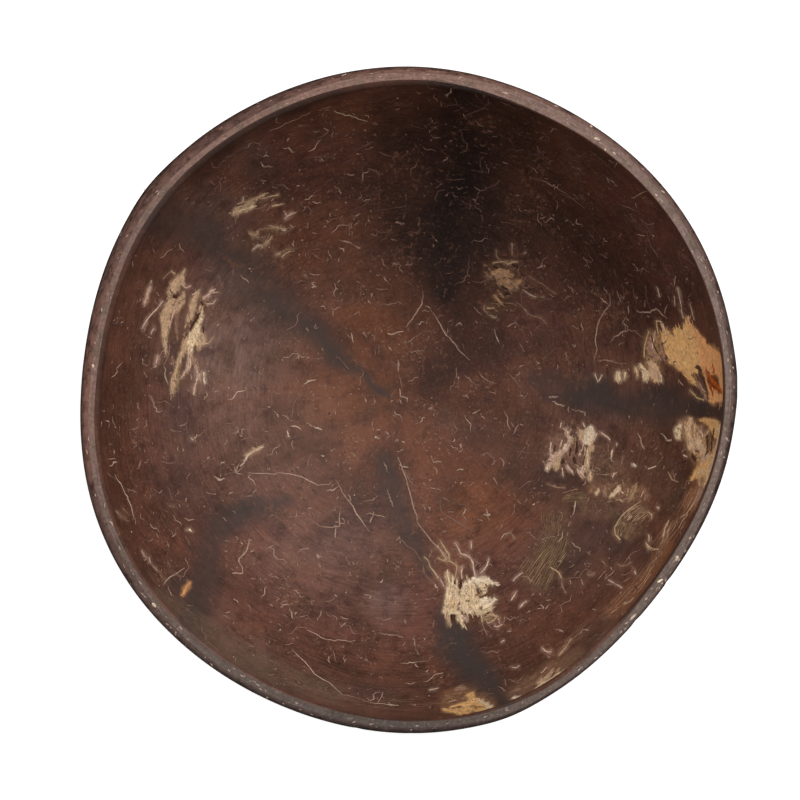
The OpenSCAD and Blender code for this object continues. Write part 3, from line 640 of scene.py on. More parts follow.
# Single fibres that stand out: width in millimetres, how pale (1 is tan), and the route in seen pixels
FIBRES = [
    (0.35, 0.8, (269, 131, 281, 127, 290, 122, 310, 112)),
    (0.45, 1.0, (335, 111, 345, 115, 355, 117, 367, 122)), (0.5, 1.2, (453, 86, 451, 91, 446, 97)),
    (0.35, 0.55, (474, 90, 477, 98, 481, 102)),
    (0.4, 0.6, (489, 98, 488, 104, 483, 109, 474, 112, 465, 116)), (0.3, 0.35, (454, 111, 463, 109)),
    (0.3, 0.4, (408, 124, 416, 127, 425, 129)),
    (0.35, 0.5, (460, 129, 463, 140, 468, 144, 466, 151, 460, 153)), (0.35, 0.4, (480, 153, 488, 154)),
    (0.3, 0.4, (473, 170, 484, 173)), (0.3, 0.4, (444, 179, 455, 180, 465, 179)),
    (0.3, 0.65, (475, 200, 480, 192, 488, 188, 497, 184, 499, 181)), (0.6, 0.7, (473, 199, 476, 202)),
    (0.3, 0.6, (406, 195, 406, 200)), (0.35, 0.5, (452, 201, 449, 206)),
    (0.45, 0.65, (420, 219, 418, 227)), (0.3, 0.4, (500, 222, 516, 224)),
    (0.3, 0.4, (531, 155, 545, 152)), (0.5, 0.6, (500, 102, 508, 105, 516, 109)),
    (0.5, 0.85, (339, 240, 350, 243, 360, 249)), (0.35, 0.8, (261, 162, 264, 167, 272, 167)),
    (0.4, 0.85, (423, 291, 422, 304, 414, 316, 406, 328)),
    (0.35, 0.6, (469, 255, 469, 268, 465, 281, 455, 284)),
    (0.4, 0.8, (431, 310, 439, 322, 445, 333, 450, 339, 459, 350, 469, 360)),
    (0.35, 0.6, (380, 152, 386, 156, 393, 157)), (0.4, 0.5, (355, 150, 365, 146, 375, 141)),
    (0.3, 0.6, (318, 138, 325, 135, 330, 130)), (0.3, 0.4, (373, 211, 388, 209, 402, 207)),
    (0.35, 0.6, (350, 214, 355, 217, 361, 213)), (0.8, 0.7, (395, 222, 405, 224)),
    (0.4, 0.7, (334, 186, 338, 189, 341, 194)), (0.5, 0.4, (310, 158, 331, 157)),
    (0.3, 0.4, (369, 102, 386, 98)), (0.3, 0.4, (367, 93, 380, 92, 392, 86)),
    (0.35, 0.55, (530, 177, 548, 183, 560, 190, 572, 198, 585, 208)),
    (0.3, 0.5, (571, 165, 580, 170, 580, 180, 584, 183)), (0.4, 0.45, (590, 150, 605, 163, 612, 170)),
    (0.35, 0.6, (640, 218, 648, 225, 655, 222, 652, 228, 646, 232, 650, 245, 658, 258)),
    (0.4, 0.85, (610, 293, 610, 304, 604, 312, 600, 318, 596, 330, 595, 343, 597, 349, 595, 358,
                 593, 363)), (0.3, 0.75, (600, 297, 605, 302, 610, 305)),
    (0.35, 0.8, (598, 361, 607, 360, 616, 363, 625, 363)),
    (0.4, 0.9, (609, 344, 613, 338, 617, 335, 625, 331, 628, 329, 634, 331, 640, 335, 643, 338)),
    (0.45, 1.0, (636, 310, 641, 312, 648, 313, 652, 311, 656, 308, 660, 312, 664, 316, 667, 319)),
    (0.3, 0.8, (667, 306, 664, 314)), (0.35, 0.6, (600, 254, 607, 258)),
    (0.35, 0.6, (571, 326, 579, 329)), (0.35, 0.7, (465, 376, 479, 388, 496, 394)),
    (0.35, 0.6, (476, 371, 485, 380, 497, 384)), (0.6, 1.15, (549, 397, 558, 397)),
    (0.4, 1.0, (553, 401, 558, 405, 565, 406)), (0.35, 0.85, (572, 410, 580, 411, 586, 413)),
    (0.7, 1.15, (263, 446, 256, 451, 249, 454, 245, 460, 241, 466)),
    (0.35, 0.9, (250, 473, 270, 474, 291, 474, 306, 479, 317, 485, 331, 485, 332, 481)),
    (0.35, 0.85, (337, 481, 343, 494, 352, 505, 361, 521, 372, 534)),
    (0.35, 0.8, (340, 507, 339, 527, 325, 527, 311, 522)),
    (0.4, 1.0, (249, 538, 247, 552, 238, 559, 244, 573, 233, 573)),
    (0.5, 1.05, (115, 475, 126, 494, 132, 508, 136, 525)),
    (0.35, 0.9, (293, 650, 301, 658, 314, 673, 329, 683, 342, 693, 362, 701, 398, 706)),
    (0.35, 0.7, (306, 630, 329, 640, 355, 641)),
    (0.4, 0.9, (398, 457, 405, 477, 410, 490, 413, 507, 418, 523, 430, 540, 441, 551, 447, 558)),
    (0.3, 0.55, (440, 500, 441, 513, 457, 522, 475, 532)), (0.35, 0.7, (486, 508, 489, 520)),
    (0.5, 1.0, (484, 515, 490, 515)), (0.35, 0.75, (423, 483, 432, 488, 440, 490)),
    (0.35, 0.75, (480, 455, 488, 453, 495, 460, 492, 465)),
    (0.35, 0.6, (397, 537, 413, 550, 430, 573, 445, 587)), (0.35, 0.75, (387, 490, 393, 507)),
    (0.3, 0.65, (395, 570, 405, 557)), (0.4, 0.85, (413, 637, 417, 653)),
    (0.35, 0.8, (380, 633, 403, 637)), (0.35, 0.8, (400, 663, 412, 663, 430, 660)),
    (0.35, 0.75, (407, 343, 415, 337)), (0.35, 0.7, (417, 351, 425, 351)),
    (0.35, 0.6, (441, 347, 440, 355)), (0.55, 0.8, (398, 360, 398, 371)),
    (0.35, 0.6, (444, 330, 451, 341, 459, 347)), (0.35, 0.65, (336, 356, 343, 363, 351, 372)),
    (0.5, 0.85, (310, 425, 322, 430)), (0.8, 0.95, (374, 436, 380, 439)),
    (0.35, 0.7, (424, 443, 428, 440, 433, 439)), (0.35, 0.75, (430, 455, 434, 462, 440, 462)),
    (0.35, 0.75, (384, 462, 388, 473)), (0.4, 0.8, (150, 395, 155, 407, 158, 413, 163, 410)),
    (0.35, 0.75, (143, 371, 147, 377)), (0.35, 0.7, (105, 420, 109, 422, 109, 428)),
    (0.35, 0.7, (112, 417, 115, 428)), (0.35, 0.75, (141, 461, 138, 469)),
    (0.45, 0.75, (201, 465, 205, 462, 209, 457)), (0.35, 0.7, (237, 427, 239, 434)),
    (0.5, 0.9, (660, 433, 665, 437, 667, 441, 672, 440)), (0.4, 0.7, (413, 662, 418, 667)),
    (0.35, 0.7, (375, 617, 383, 620, 392, 619)), (0.4, 0.8, (430, 88, 433, 89)),
    (0.35, 0.5, (645, 285, 647, 300, 650, 309)), (0.3, 0.45, (622, 284, 624, 297, 622, 305)),
    (0.3, 0.45, (633, 288, 636, 303)), (0.3, 0.4, (613, 268, 618, 280)),
    (0.3, 0.5, (188, 415, 186, 428, 189, 437)), (0.3, 0.5, (212, 400, 221, 407)),
    (0.3, 0.55, (168, 486, 172, 499)),
]
# Loose small fibres all over the inner wall, the tiny specks between them, and how far out they lie
LOOSE_FIBRES = 1300
LOOSE_SPECKS = 900
LOOSE_REACH_PX = 316.0
# A strand ends in a point of this length. Its sides lie this high on the wall and its underside this
# deep in it, and where its half-width is under the last of these it is lower too
STRAND_TIP = 0.12
STRAND_SIDE = 0.006
STRAND_SUNK = 0.03
STRAND_THIN = 0.12
# A stroke narrower than the first half-width, in seen pixels, has a solid strand of its own. From the
# second one on, finer strands fill it, this many to 9 square pixels
SOLID_PX = 2.6
FILLED_PX = 1.4
FILL = 3.4
# Steps along a combed line before it is broken
COMB_STEPS = 60

# Chips in the rim's outer edge: direction in degrees, width and depth in millimetres
CHIPS = [
    (100, 1.6, 0.2), (53, 2.2, 0.15), (325, 1.4, 0.15), (316, 1.8, 0.15), (206, 1.5, 0.15),
    (262, 1.3, 0.15),
]
# A chip fades out between these depths under the rim, and sinks this share of how far it bites inwards
CHIP_FADE = (3.0, 1.0)
CHIP_SINK = 0.6

# Pale grains stuck in the rim: shade, seen x, seen y, length along the rim and width in millimetres
RIM_GRAINS = [
    ("cream", 344, 75, 0.9, 0.6), ("tan", 505, 93, 1.2, 0.5), ("tan", 556, 106, 0.9, 0.45),
    ("tan", 591, 126, 0.6, 0.5), ("cream", 597, 139, 1.1, 0.8), ("gap", 597.5, 139, 0.5, 0.3),
    ("tan", 605, 150, 0.6, 0.5), ("cream", 614, 153, 0.8, 0.5), ("tan", 656, 195, 0.7, 0.5),
    ("tan", 663, 192, 0.9, 0.4), ("tan", 93, 312, 1.6, 0.4), ("cream", 93, 366, 0.7, 0.5),
    ("tan", 87, 452, 0.8, 0.45), ("tan", 112, 523, 1.0, 0.5), ("cream", 154, 605, 1.0, 0.7),
    ("cream", 677, 558, 1.1, 0.8), ("pale", 660, 581, 1.2, 0.7), ("tan", 633, 617, 1.8, 0.5),
    ("tan", 646, 599, 0.7, 0.4), ("tan", 690, 538, 0.6, 0.4), ("tan", 728, 360, 0.8, 0.35),
    ("pink", 221, 128, 0.7, 0.4),
]
LOOSE_GRAINS = 150
# They stay this far from the inner edge of the sawn face, and this far inside the brim
GRAIN_MARGINS = (0.25, 0.4)

# The rim every 30 degrees: how red and how dark its sawn face is, how far in the oil has soaked in
# millimetres, how dark the oiled band is, and how dark the painted shade along the rim's inner edge is
RED_SHARES = [0.2, 0.4, 0.6, 0.9, 0.9, 0.7, 0.9, 0.5, 0.2, 0.1, 0.2, 0.2]
DARK_SHARES = [0.2, 0.1, 0.05, 0.0, 0.1, 0.25, 0.1, 0.4, 0.6, 0.8, 0.5, 0.4]
SOAKED_MM = [1.25, 1.3, 1.05, 1.3, 2.1, 2.2, 1.7, 2.1, 1.3, 1.2, 0.6, 0.6]
BAND_DARK = [0.3, 0.15, 0.1, 0.3, 0.55, 0.28, 0.1, 0.45, 0.6, 0.75, 0.5, 0.45]
PAINTED_LIP_SHADE = [0.6, 0.4, 0.4, 0.6, 0.7, 0.5, 0.5, 0.25, 0.15, 0.7, 0.35, 0.8]
# Half the width over which the oil's inner edge fades, and the depths under the rim between which the
# oiled band fades in on the outer wall
SOAKED_BLUR = 0.3
OILED_UNDER = (9.0, 3.0)


def each_stroke():
    """The shade and the route of every stroke, in the order in which they lie."""
    for shade, *routes in STROKES:
        for flat in routes:
            yield shade, flat


def legs(px, py, route):
    """For each straight leg of a route: how far seen pixels lie from it, and its half-width there."""
    for (x0, y0, w0), (x1, y1, w1) in zip(route, route[1:]):
        run, rise = x1 - x0, y1 - y0
        t = np.clip(((px - x0) * run + (py - y0) * rise) / (run * run + rise * rise), 0.0, 1.0)
        yield np.hypot(px - x0 - t * run, py - y0 - t * rise), w0 + t * (w1 - w0)


def route_gap(px, py, route):
    """How far seen pixels lie outside a route, with its half-width taken off."""
    return np.min([distance - half for distance, half in legs(px, py, route)], axis=0)


def route_mask(px, py, route, power):
    """Soft band along a route: a bell curve of the distance over the half-width, the most of all legs.

    A higher power gives the band a flatter middle and a steeper edge.
    """
    bells = [np.exp(-(distance / half) ** power) for distance, half in legs(px, py, route)]
    return np.max(bells, axis=0)


def spot_mask(px, py, spots):
    """Soft oval spots: a bell curve of the distance from each middle, the most of all spots."""
    best = np.zeros(px.shape)
    for x, y, half_w, half_h, turned, strength in spots:
        c, s = math.cos(math.radians(turned)), math.sin(math.radians(turned))
        along = ((px - x) * c - (py - y) * s) / half_w
        across = ((px - x) * s + (py - y) * c) / half_h
        best = np.maximum(best, strength * np.exp(-(along ** 2 + across ** 2)))
    return best


def waves(x, y, size, seed):
    """Uneven waves about size across, mostly between -1 and 1: a sum of sines in drawn directions."""
    rng = np.random.default_rng(seed)
    total = 0.0
    for angle, phase, pace in rng.uniform((0.0, 0.0, 0.6), (2 * math.pi, 2 * math.pi, 1.9), (9, 3)):
        along = (x * math.cos(angle) + y * math.sin(angle)) * pace
        total = total + np.sin(along * 2 * math.pi / size + phase)
    return total / 4.0


def wander(px, py, size, reach, seed):
    """Seen pixels moved about unevenly, so that what is drawn through them has a natural edge."""
    return px + reach * waves(px, py, size, seed), py + reach * waves(px, py, size, seed + 1)


def smoke_and_shade_at(px, py):
    """Smoke, and shade that is dark marks with painted shade over them, at seen pixels: each the most
    of its routes, with wandering edges.
    """
    px, py = wander(*wander(px, py, 80.0, 6.0, 1), 26.0, 2.5, 3)
    smoke = np.zeros(px.shape)
    for strength, route in SMOKE.values():
        smoke = np.maximum(smoke, strength * route_mask(px, py, route, 2.4))
    shade = np.zeros(px.shape)
    for strength, route in SHADE.values():
        shade = 1.0 - (1.0 - shade) * (1.0 - strength * route_mask(px, py, route, 2.0))
    return smoke, shade


def halos(px, py):
    """Paint on the wall round and under the bared grain: its strength and its colour.

    It is strongest on a route and fades out just outside it, more widely round a halo than round a
    stroke. A wide stroke's paint is stronger than a narrow one's. Like the strands, it is lighter
    where less light falls.
    """
    px, py = wander(px, py, 14.0, 1.0, 5)
    strength = np.zeros(px.shape)
    colour = np.tile(linear(SHADES["umber"]), px.shape + (1,))
    parts = [(hex_colour, most, HALO_FADE, flat) for hex_colour, most, flat in HALOS]
    parts += [(SHADES[shade], min(1.0, 0.12 + 0.44 * max(flat[2::3])), STROKE_FADE, flat)
              for shade, flat in each_stroke() if shade not in COVERING]
    for hex_colour, most, fade, flat in parts:
        route = np.reshape(flat, (-1, 3))
        low, high = route[:, :2].min(axis=0) - PAINT_REACH, route[:, :2].max(axis=0) + PAINT_REACH
        near = np.nonzero((px > low[0]) & (px < high[0]) & (py > low[1]) & (py < high[1]))
        here = most * (1.0 - smooth(-PAINT_INSET, fade, route_gap(px[near], py[near], route)))
        won = here > strength[near]
        place = near[0][won]
        strength[place] = here[won]
        colour[place] = linear(hex_colour)
    colour[..., :3] = as_lit(colour[..., :3], px, py)
    return strength, colour


def lamp_share(px, py):
    """Share of the studio's light that falls on each place of the inner wall.

    It is least on the wall nearest the lamp: a plane and a paraboloid that fit a grey bowl.
    """
    across, up = (px - BOWL_PX[0]) / WALL_PX, (BOWL_PX[1] - py) / WALL_PX
    middle, right, top, away = LIGHT_FIT
    return middle - right * across - top * up - away * (across ** 2 + up ** 2)


def as_lit(colour, px, py):
    """Colour of bared grain at seen pixels: lighter where less light falls, and dulled in its spots."""
    factor = (1.0 - spot_mask(px, py, DULLED)) / lamp_share(px, py)
    bright = colour * factor[..., None]
    # Too bright a colour is brought down with its hue kept
    return bright / np.maximum(1.0, bright.max(axis=-1, keepdims=True))


# Meshes

def within_part(points):
    """Points kept inside the part's own box."""
    low, high = (np.array(corner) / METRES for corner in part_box("shell"))
    return np.clip(points, low, high)


def new_piece(name, points, quads, triangles, materials):
    """A closed mesh from whole arrays of points and corner numbers, shaded smooth."""
    mesh = bpy.data.meshes.new(name)
    corners = np.concatenate([quads.ravel(), triangles.ravel()]).astype(np.int32)
    sizes = np.concatenate([np.full(len(quads), 4), np.full(len(triangles), 3)])
    starts = np.concatenate([[0], np.cumsum(sizes)[:-1]]).astype(np.int32)
    mesh.vertices.add(len(points))
    mesh.vertices.foreach_set("co", (points * METRES).astype(np.float32).ravel())
    mesh.loops.add(len(corners))
    mesh.loops.foreach_set("vertex_index", corners)
    mesh.polygons.add(len(sizes))
    mesh.polygons.foreach_set("loop_start", starts)
    mesh.update(calc_edges=True)
    mesh.polygons.foreach_set("use_smooth", np.ones(len(sizes), dtype=bool))
    for material in materials:
        mesh.materials.append(material)
    mesh.validate()
    piece = bpy.data.objects.new(name, mesh)
    bpy.context.scene.collection.objects.link(piece)
    return piece


def store(piece, name, kind, values):
    """Keeps one value for each point of a piece, for its material to read."""
    layer = piece.data.attributes.new(name, kind, "POINT")
    field = {"FLOAT": "value", "FLOAT_VECTOR": "vector", "FLOAT_COLOR": "color"}[kind]
    layer.data.foreach_set(field, np.ascontiguousarray(values, dtype=np.float32).ravel())


def chipped(a, r, z, top):
    """Chips along the outer edge: each sinks the bevel inwards and down in a short bell curve."""
    for direction, width, depth in CHIPS:
        bell = np.exp(-(arc_from(a, direction) / width * 2.0) ** 2)
        bite = depth * bell * smooth(*(BOWL_H - under for under in CHIP_FADE), z) * top
        r = r - bite
        z = z - CHIP_SINK * bite
    return r, z


def shell_section(a):
    """Section of the wall in every direction, as rings of distance and height, and each ring's zone.

    It runs from the foot up the outside, round the bevel, across the sawn face, round the lip and
    down the inside. The lip is a quarter circle.
    """
    rings = []

    def ring(zone, r, z):
        rings.append((zone, r, z))

    for share in (0.35, 0.7, 1.0):
        ring("foot", (foot_edge(a) - FOOT_EASE) * share, 0.0 * a)
    low = np.arcsin((foot_edge(a) + FOOT_EASE) / MEAN_R)
    brink_r, brink_z, width, drop, face_out, face_in = rim_edges(a)
    high = np.arccos((belly_z(a) - rim_z(a) + drop) / outer_depth(a))
    for i in range(OUTSIDE_STEPS):
        share = i / OUTSIDE_STEPS
        ring("outside", *outer_point(a, low + (high - low) * share))
    for i in range(BEVEL_STEPS + 1):
        inwards, upwards = bevel_shares(i / BEVEL_STEPS)
        # Chips are half as deep at the bevel's inner edge
        whole = 1.0 - i / BEVEL_STEPS * 0.5
        ring("bevel", *chipped(a, brink_r - width * inwards, brink_z + drop * upwards, whole))
    for i in range(1, FACE_STEPS):
        share = i / FACE_STEPS
        sunk = FACE_SUNK * math.sin(math.pi * share)
        ring("face", face_out + (face_in - face_out) * share, rim_z(a) - sunk)
    lip = around(LIP_REACH, a)
    mouth = np.arccos((belly_z(a) - rim_z(a) + lip) / inner_depth(a))
    lip_z = inner_point(a, mouth)[1]
    for i in range(LIP_STEPS + 1):
        t = math.pi / 2 * i / LIP_STEPS
        ring("lip", face_in - lip * math.sin(t), lip_z + lip * math.cos(t))
    for i in range(1, INSIDE_STEPS):
        share = i / INSIDE_STEPS
        r, z = inner_point(a, mouth * (1 - share))
        # The sanding's waves fade in under the lip
        z = z + hollow(r * cosd(a), r * np.sin(np.radians(a))) * smooth(0.0, 0.12, share)
        ring("inside", r, z)
    return rings


def paint_shell(piece, points, zones):
    """Keeps for each point what the shell's three finishes read.

    halo and halo_colour are the paint round the bared grain. tone is how warm and ruddy the wall is,
    and its painted sheen: a greyish haze where a soft reflection lies. The shade and smoke kept next
    are the wall's shade, which is dark marks with painted shade over them, its smoke, and the painted
    shade of the dark line along its lip. nut is the direction round the bowl and the distance down the
    wall. edge is how far the oil has soaked in, whether the point is on the resting flat, and how deep
    its brown is. rim is how red and how dark the rim is in that direction, and the distance in from
    the brim.
    """
    def marked(*names, foot=False, floor=False):
        """Whether each point lies in one of some zones; foot and floor are the two closing points."""
        return np.concatenate([np.tile(np.isin(zones, names), SECTORS), [foot, floor]])

    inside, lip = marked("lip", "inside", floor=True), marked("lip")
    px, py = seen_pixels(*points.T)
    smoke, shade = smoke_and_shade_at(px, py)
    strength, colour = halos(px, py)
    direction = np.arctan2(points[:, 1], points[:, 0])
    degrees = np.degrees(direction) % 360.0
    distance = np.hypot(points[:, 0], points[:, 1])
    # The oil has soaked into all of the outer wall's top and a part of the sawn face
    across = brim_distance(degrees) - distance
    soaked = 1.0 - smooth(-SOAKED_BLUR, SOAKED_BLUR, across - around(SOAKED_MM, degrees))
    soaked = np.where(marked("face"), soaked, 1.0 - inside)
    under = smooth(*(BOWL_H - depth for depth in OILED_UNDER), points[:, 2])
    # Distance down the inner wall, near enough for streaks: part of the reach less the depth
    down = np.where(inside, distance * 0.75 - (BOWL_H - points[:, 2]) * 0.9, points[:, 2])
    deep = np.where(inside, spot_mask(px, py, DEEP), around(BAND_DARK, degrees))
    store(piece, "halo", "FLOAT", np.where(inside & ~lip, strength, 0.0))
    store(piece, "halo_colour", "FLOAT_COLOR", colour)
    for name, parts in (
            ("tone", [spot_mask(px, py, spots) for spots in (WARM, RUDDY, PAINTED_SHEEN)]),
            ("shade_and_smoke", [shade, smoke, np.where(lip, around(PAINTED_LIP_SHADE, degrees), 0.0)]),
            ("nut", [np.cos(direction), np.sin(direction), down]),
            ("edge", [soaked * under, marked("foot", foot=True), deep]),
            ("rim", [around(RED_SHARES, degrees), around(DARK_SHARES, degrees), across])):
        store(piece, name, "FLOAT_VECTOR", np.stack(parts, axis=-1))


def make_shell(materials):
    """The whole bowl: the section's rings joined all round by quads, with a point closing each end."""
    a = np.arange(SECTORS) * 360.0 / SECTORS
    rings = shell_section(a)
    zones = [zone for zone, *_ in rings]
    r = np.stack([ring[1] for ring in rings], axis=1)
    z = np.stack([ring[2] for ring in rings], axis=1)
    x, y = r * cosd(a)[:, None], r * np.sin(np.radians(a))[:, None]
    count = len(rings)
    floor_z = FLOOR_T + float(hollow(0.0, 0.0))
    points = np.concatenate([np.stack([x, y, z], axis=-1).reshape(-1, 3), [[0, 0, 0], [0, 0, floor_z]]])
    here = (np.arange(SECTORS) * count)[:, None] + np.arange(count - 1)[None, :]
    there = (np.roll(np.arange(SECTORS), -1) * count)[:, None] + np.arange(count - 1)[None, :]
    quads = np.stack([here, there, there + 1, here + 1], axis=-1).reshape(-1, 4)
    first, last = SECTORS * count, SECTORS * count + 1
    start, follow = np.arange(SECTORS) * count, np.roll(np.arange(SECTORS), -1) * count
    caps = np.concatenate([
        np.stack([np.full(SECTORS, first), follow, start], axis=-1),
        np.stack([start + count - 1, follow + count - 1, np.full(SECTORS, last)], axis=-1)])
    points = within_part(points)
    piece = new_piece("shell", points, quads, caps, materials)

    # Which of the three finishes each face has: outside, sawn face, inside
    finish_of = {"foot": 0, "outside": 0, "bevel": 0, "face": 1, "lip": 2, "inside": 2}
    finish = np.array([finish_of[zone] for zone in zones])
    ring_finish = np.maximum(finish[:-1], np.where(finish[1:] == 1, 1, 0))
    ring_finish[zones.index("face") - 1:zones.index("lip")] = 1
    face_finish = np.concatenate([np.tile(ring_finish, SECTORS), np.repeat([0, 2], SECTORS)])
    piece.data.polygons.foreach_set("material_index", face_finish.astype(np.int32))
    paint_shell(piece, points, zones)
    return piece


def laid_out(route, count):
    """Places spaced evenly along a route of straight legs, with whatever else its points carry."""
    step = np.hypot(*np.diff(route[:, :2], axis=0).T)
    place = np.concatenate([[0.0], np.cumsum(step)])
    at = np.linspace(0.0, place[-1], count)
    return np.stack([np.interp(at, place, column) for column in route.T], axis=-1)


def lay_strands(seen, half, rise, lift, height):
    """Thin flattened strands on a surface whose height is given, as points and corner numbers.

    seen holds the places along each strand in seen pixels, and half the half-widths there in
    millimetres. A strand's section is a low diamond across its run, whose sides lie just over the
    surface, and it narrows to a point at both ends.
    """
    strands, steps = seen.shape[:2]
    centre = place_under(seen[..., 0], seen[..., 1], height)
    up = normal_at(centre, height)
    run = np.gradient(centre, axis=1)
    run /= np.linalg.norm(run, axis=-1, keepdims=True) + 1e-9
    side = np.cross(up, run) * half[..., None]
    rise = (rise[:, None] * np.minimum(1.0, half / STRAND_THIN) + lift[:, None])[..., None]

    def beside(p):
        on_wall = np.stack([p[..., 0], p[..., 1], height(p[..., 0], p[..., 1])], axis=-1)
        return on_wall + up * (STRAND_SIDE + lift[:, None, None])

    section = np.stack([beside(centre + side), centre + up * rise, beside(centre - side),
                        centre - up * STRAND_SUNK], axis=2)
    tips = np.stack([centre[:, 0] - run[:, 0] * STRAND_TIP,
                     centre[:, -1] + run[:, -1] * STRAND_TIP], axis=1)
    points = np.concatenate([section.reshape(strands, -1, 3), tips], axis=1)
    per = steps * 4 + 2
    ring = np.arange(steps - 1)[:, None] * 4
    k, n = np.arange(4), (np.arange(4) + 1) % 4
    quads = np.stack([ring + k, ring + n, ring + 4 + n, ring + 4 + k], axis=-1).reshape(-1, 4)
    last = (steps - 1) * 4
    caps = np.concatenate([np.stack([n, k, np.full(4, per - 2)], axis=-1),
                           np.stack([last + k, last + n, np.full(4, per - 1)], axis=-1)])
    offset = (np.arange(strands) * per)[:, None, None]
    quads, caps = (quads[None] + offset).reshape(-1, 4), (caps[None] + offset).reshape(-1, 3)
    return points.reshape(-1, 3), quads, caps


def strand_piece(name, batches, material):
    """One piece from batches of strands: seen, half-widths, rises, lifts, colours, height function."""
    points, quads, caps, colours, start = [], [], [], [], 0
    for seen, half, rise, lift, colour, height in batches:
        p, q, c = lay_strands(seen, half, rise, lift, height)
        points.append(p)
        quads.append(q + start)
        caps.append(c + start)
        each = np.concatenate([np.repeat(colour, 4, axis=1), colour[:, :1], colour[:, -1:]], axis=1)
        colours.append(each.reshape(-1, 3))
        start += len(p)
    points, quads, caps, colours = map(np.concatenate, (points, quads, caps, colours))
    piece = new_piece(name, within_part(points), quads, caps, [material])
    opaque = np.ones((len(colours), 1))
    store(piece, "strand_colour", "FLOAT_COLOR", np.concatenate([colours, opaque], axis=-1))
    return piece


def pointed(count, power):
    """Share of the full half-width along a strand, which swells in the middle and thins to the ends."""
    return np.sin(np.linspace(0.12, math.pi - 0.12, count)) ** power


def uneven(rng, shape, spread):
    """Factors about 1 that change slowly along each strand: drawn at four places and eased between."""
    drawn = rng.normal(1.0, spread, (shape[0], 4))
    place = np.linspace(0.0, 2.999, shape[1])
    k = np.floor(place).astype(int)
    eased = drawn[:, k] + (drawn[:, k + 1] - drawn[:, k]) * smooth(0.0, 1.0, place - k)
    return np.clip(eased, 0.4, 1.6)


def headed(turn):
    """Steps of one seen pixel in some directions, which are counted from the right to the top."""
    return np.stack([np.cos(turn), -np.sin(turn)], axis=-1)


def stroke_strands(rng, core, length, tint, lift):
    """Fine strands that run along a stroke, spread over its width by chance and duller at its edge."""
    brown = rgb(SHADES["brown"])
    hues = [rgb(hex_colour) for hex_colour in ("#b98a5c", "#c8a594", "#dcc8ac")]
    strands = []
    mean_half = core[:, 2].mean()
    heading = np.unwrap(np.arctan2(*np.gradient(core[:, :2], axis=0).T[::-1]))
    for _ in range(int(np.ceil(FILL * (length + 2 * mean_half) * mean_half / 9.0))):
        at = rng.uniform(-0.15, 1.15) * (CORE_STEPS - 1)
        place = np.clip(at, 0, CORE_STEPS - 1)
        x, y, reach, angle = (np.interp(place, np.arange(CORE_STEPS), column)
                              for column in (*core.T, heading))
        share = rng.uniform(-1.0, 1.0)
        angle += rng.normal(0.0, 0.2)
        over = (at - place) * length / (CORE_STEPS - 1)
        x += over * math.cos(angle) - share * reach * math.sin(angle)
        y += over * math.sin(angle) + share * reach * math.cos(angle)
        long = rng.uniform(3.0, 9.0) * (0.55 + 0.45 * min(1.0, length / 14.0))
        bend = angle + rng.normal(0.0, 0.25) * np.linspace(-0.5, 0.5, SHORT_STEPS)
        stepped = np.stack([np.cos(bend), np.sin(bend)], axis=-1) * long / SHORT_STEPS
        run = np.array([x, y]) + np.cumsum(stepped, axis=0) - stepped.sum(axis=0) / 2.0
        hue = hues[rng.integers(0, 3)]
        colour = tint + (hue - tint) * (0.0 if lift else rng.uniform(0.0, 0.3))
        dull = 0.0 if lift else 0.4 * smooth(0.6, 1.0, abs(share)) * rng.uniform(0.0, 1.0)
        colour = (colour + (brown - colour) * dull) * rng.uniform(0.8, 1.15)
        half = rng.uniform(0.3, 0.75) * pointed(SHORT_STEPS, 0.6)
        strands.append((run, half, rng.uniform(0.015, 0.04), lift, colour))
    return strands


def comb_strands(rng, shade, count, edge, other):
    """Strands of a combed place: lines spaced evenly between its two edges, broken by chance."""
    strands = []
    first, second = (laid_out(np.reshape(flat, (-1, 2)), COMB_STEPS) for flat in (edge, other))
    for line in range(count):
        share = (line + rng.uniform(0.3, 0.7)) / count
        full = first + (second - first) * share
        at = rng.integers(0, 12)
        while at < COMB_STEPS - 10:
            end = min(COMB_STEPS - 1, at + rng.integers(14, 40))
            run = laid_out(full[at:end + 1] + rng.normal(0.0, 0.12, 2), SHORT_STEPS)
            run += rng.normal(0.0, 0.12, run.shape)
            half = rng.uniform(0.3, 0.52) * pointed(SHORT_STEPS, 0.5)
            strands.append((run, half, 0.03, 0.0, rgb(SHADES[shade]) * rng.uniform(0.7, 1.3)))
            at = end + rng.integers(2, 14)
    return strands


def make_bared_grain(material):
    """The pale patches: strands that run along each stroke, and those of the combed places.

    A narrow stroke has a solid strand of its own. A wide one is painted on the wall, and finer
    strands lie over it.
    """
    rng = np.random.default_rng(SEED + 1)
    cores, strands = [], []
    for shade, flat in each_stroke():
        route = np.reshape(flat, (-1, 3))
        tint = rgb(SHADES[shade])
        lift = 0.06 if shade in COVERING else 0.0
        core = laid_out(route, CORE_STEPS)
        most = route[:, 2].max()
        if most < SOLID_PX or lift:
            full = 1.0 if most < FILLED_PX or lift else 0.65
            places = core[:, :2] + rng.normal(0.0, 0.15, (CORE_STEPS, 2))
            cores.append((places, core[:, 2] * full, 0.025, lift, tint))
        if most >= FILLED_PX:
            length = np.hypot(*np.diff(route[:, :2], axis=0).T).sum()
            strands += stroke_strands(rng, core, length, tint, lift)
    for place in COMBS:
        strands += comb_strands(rng, *place)

    batches = []
    for group in (cores, strands):
        seen, half, rise, lift, colour = (np.stack(column) for column in zip(*group))
        half = half * uneven(rng, seen.shape[:2], 0.12) * PIXEL
        colour = colour[:, None, :] * uneven(rng, seen.shape[:2], 0.1)[..., None]
        colour = as_lit(colour, seen[..., 0], seen[..., 1])
        batches.append((seen, half, rise, lift, colour, inside_height))
    return strand_piece("bared_grain", batches, material)


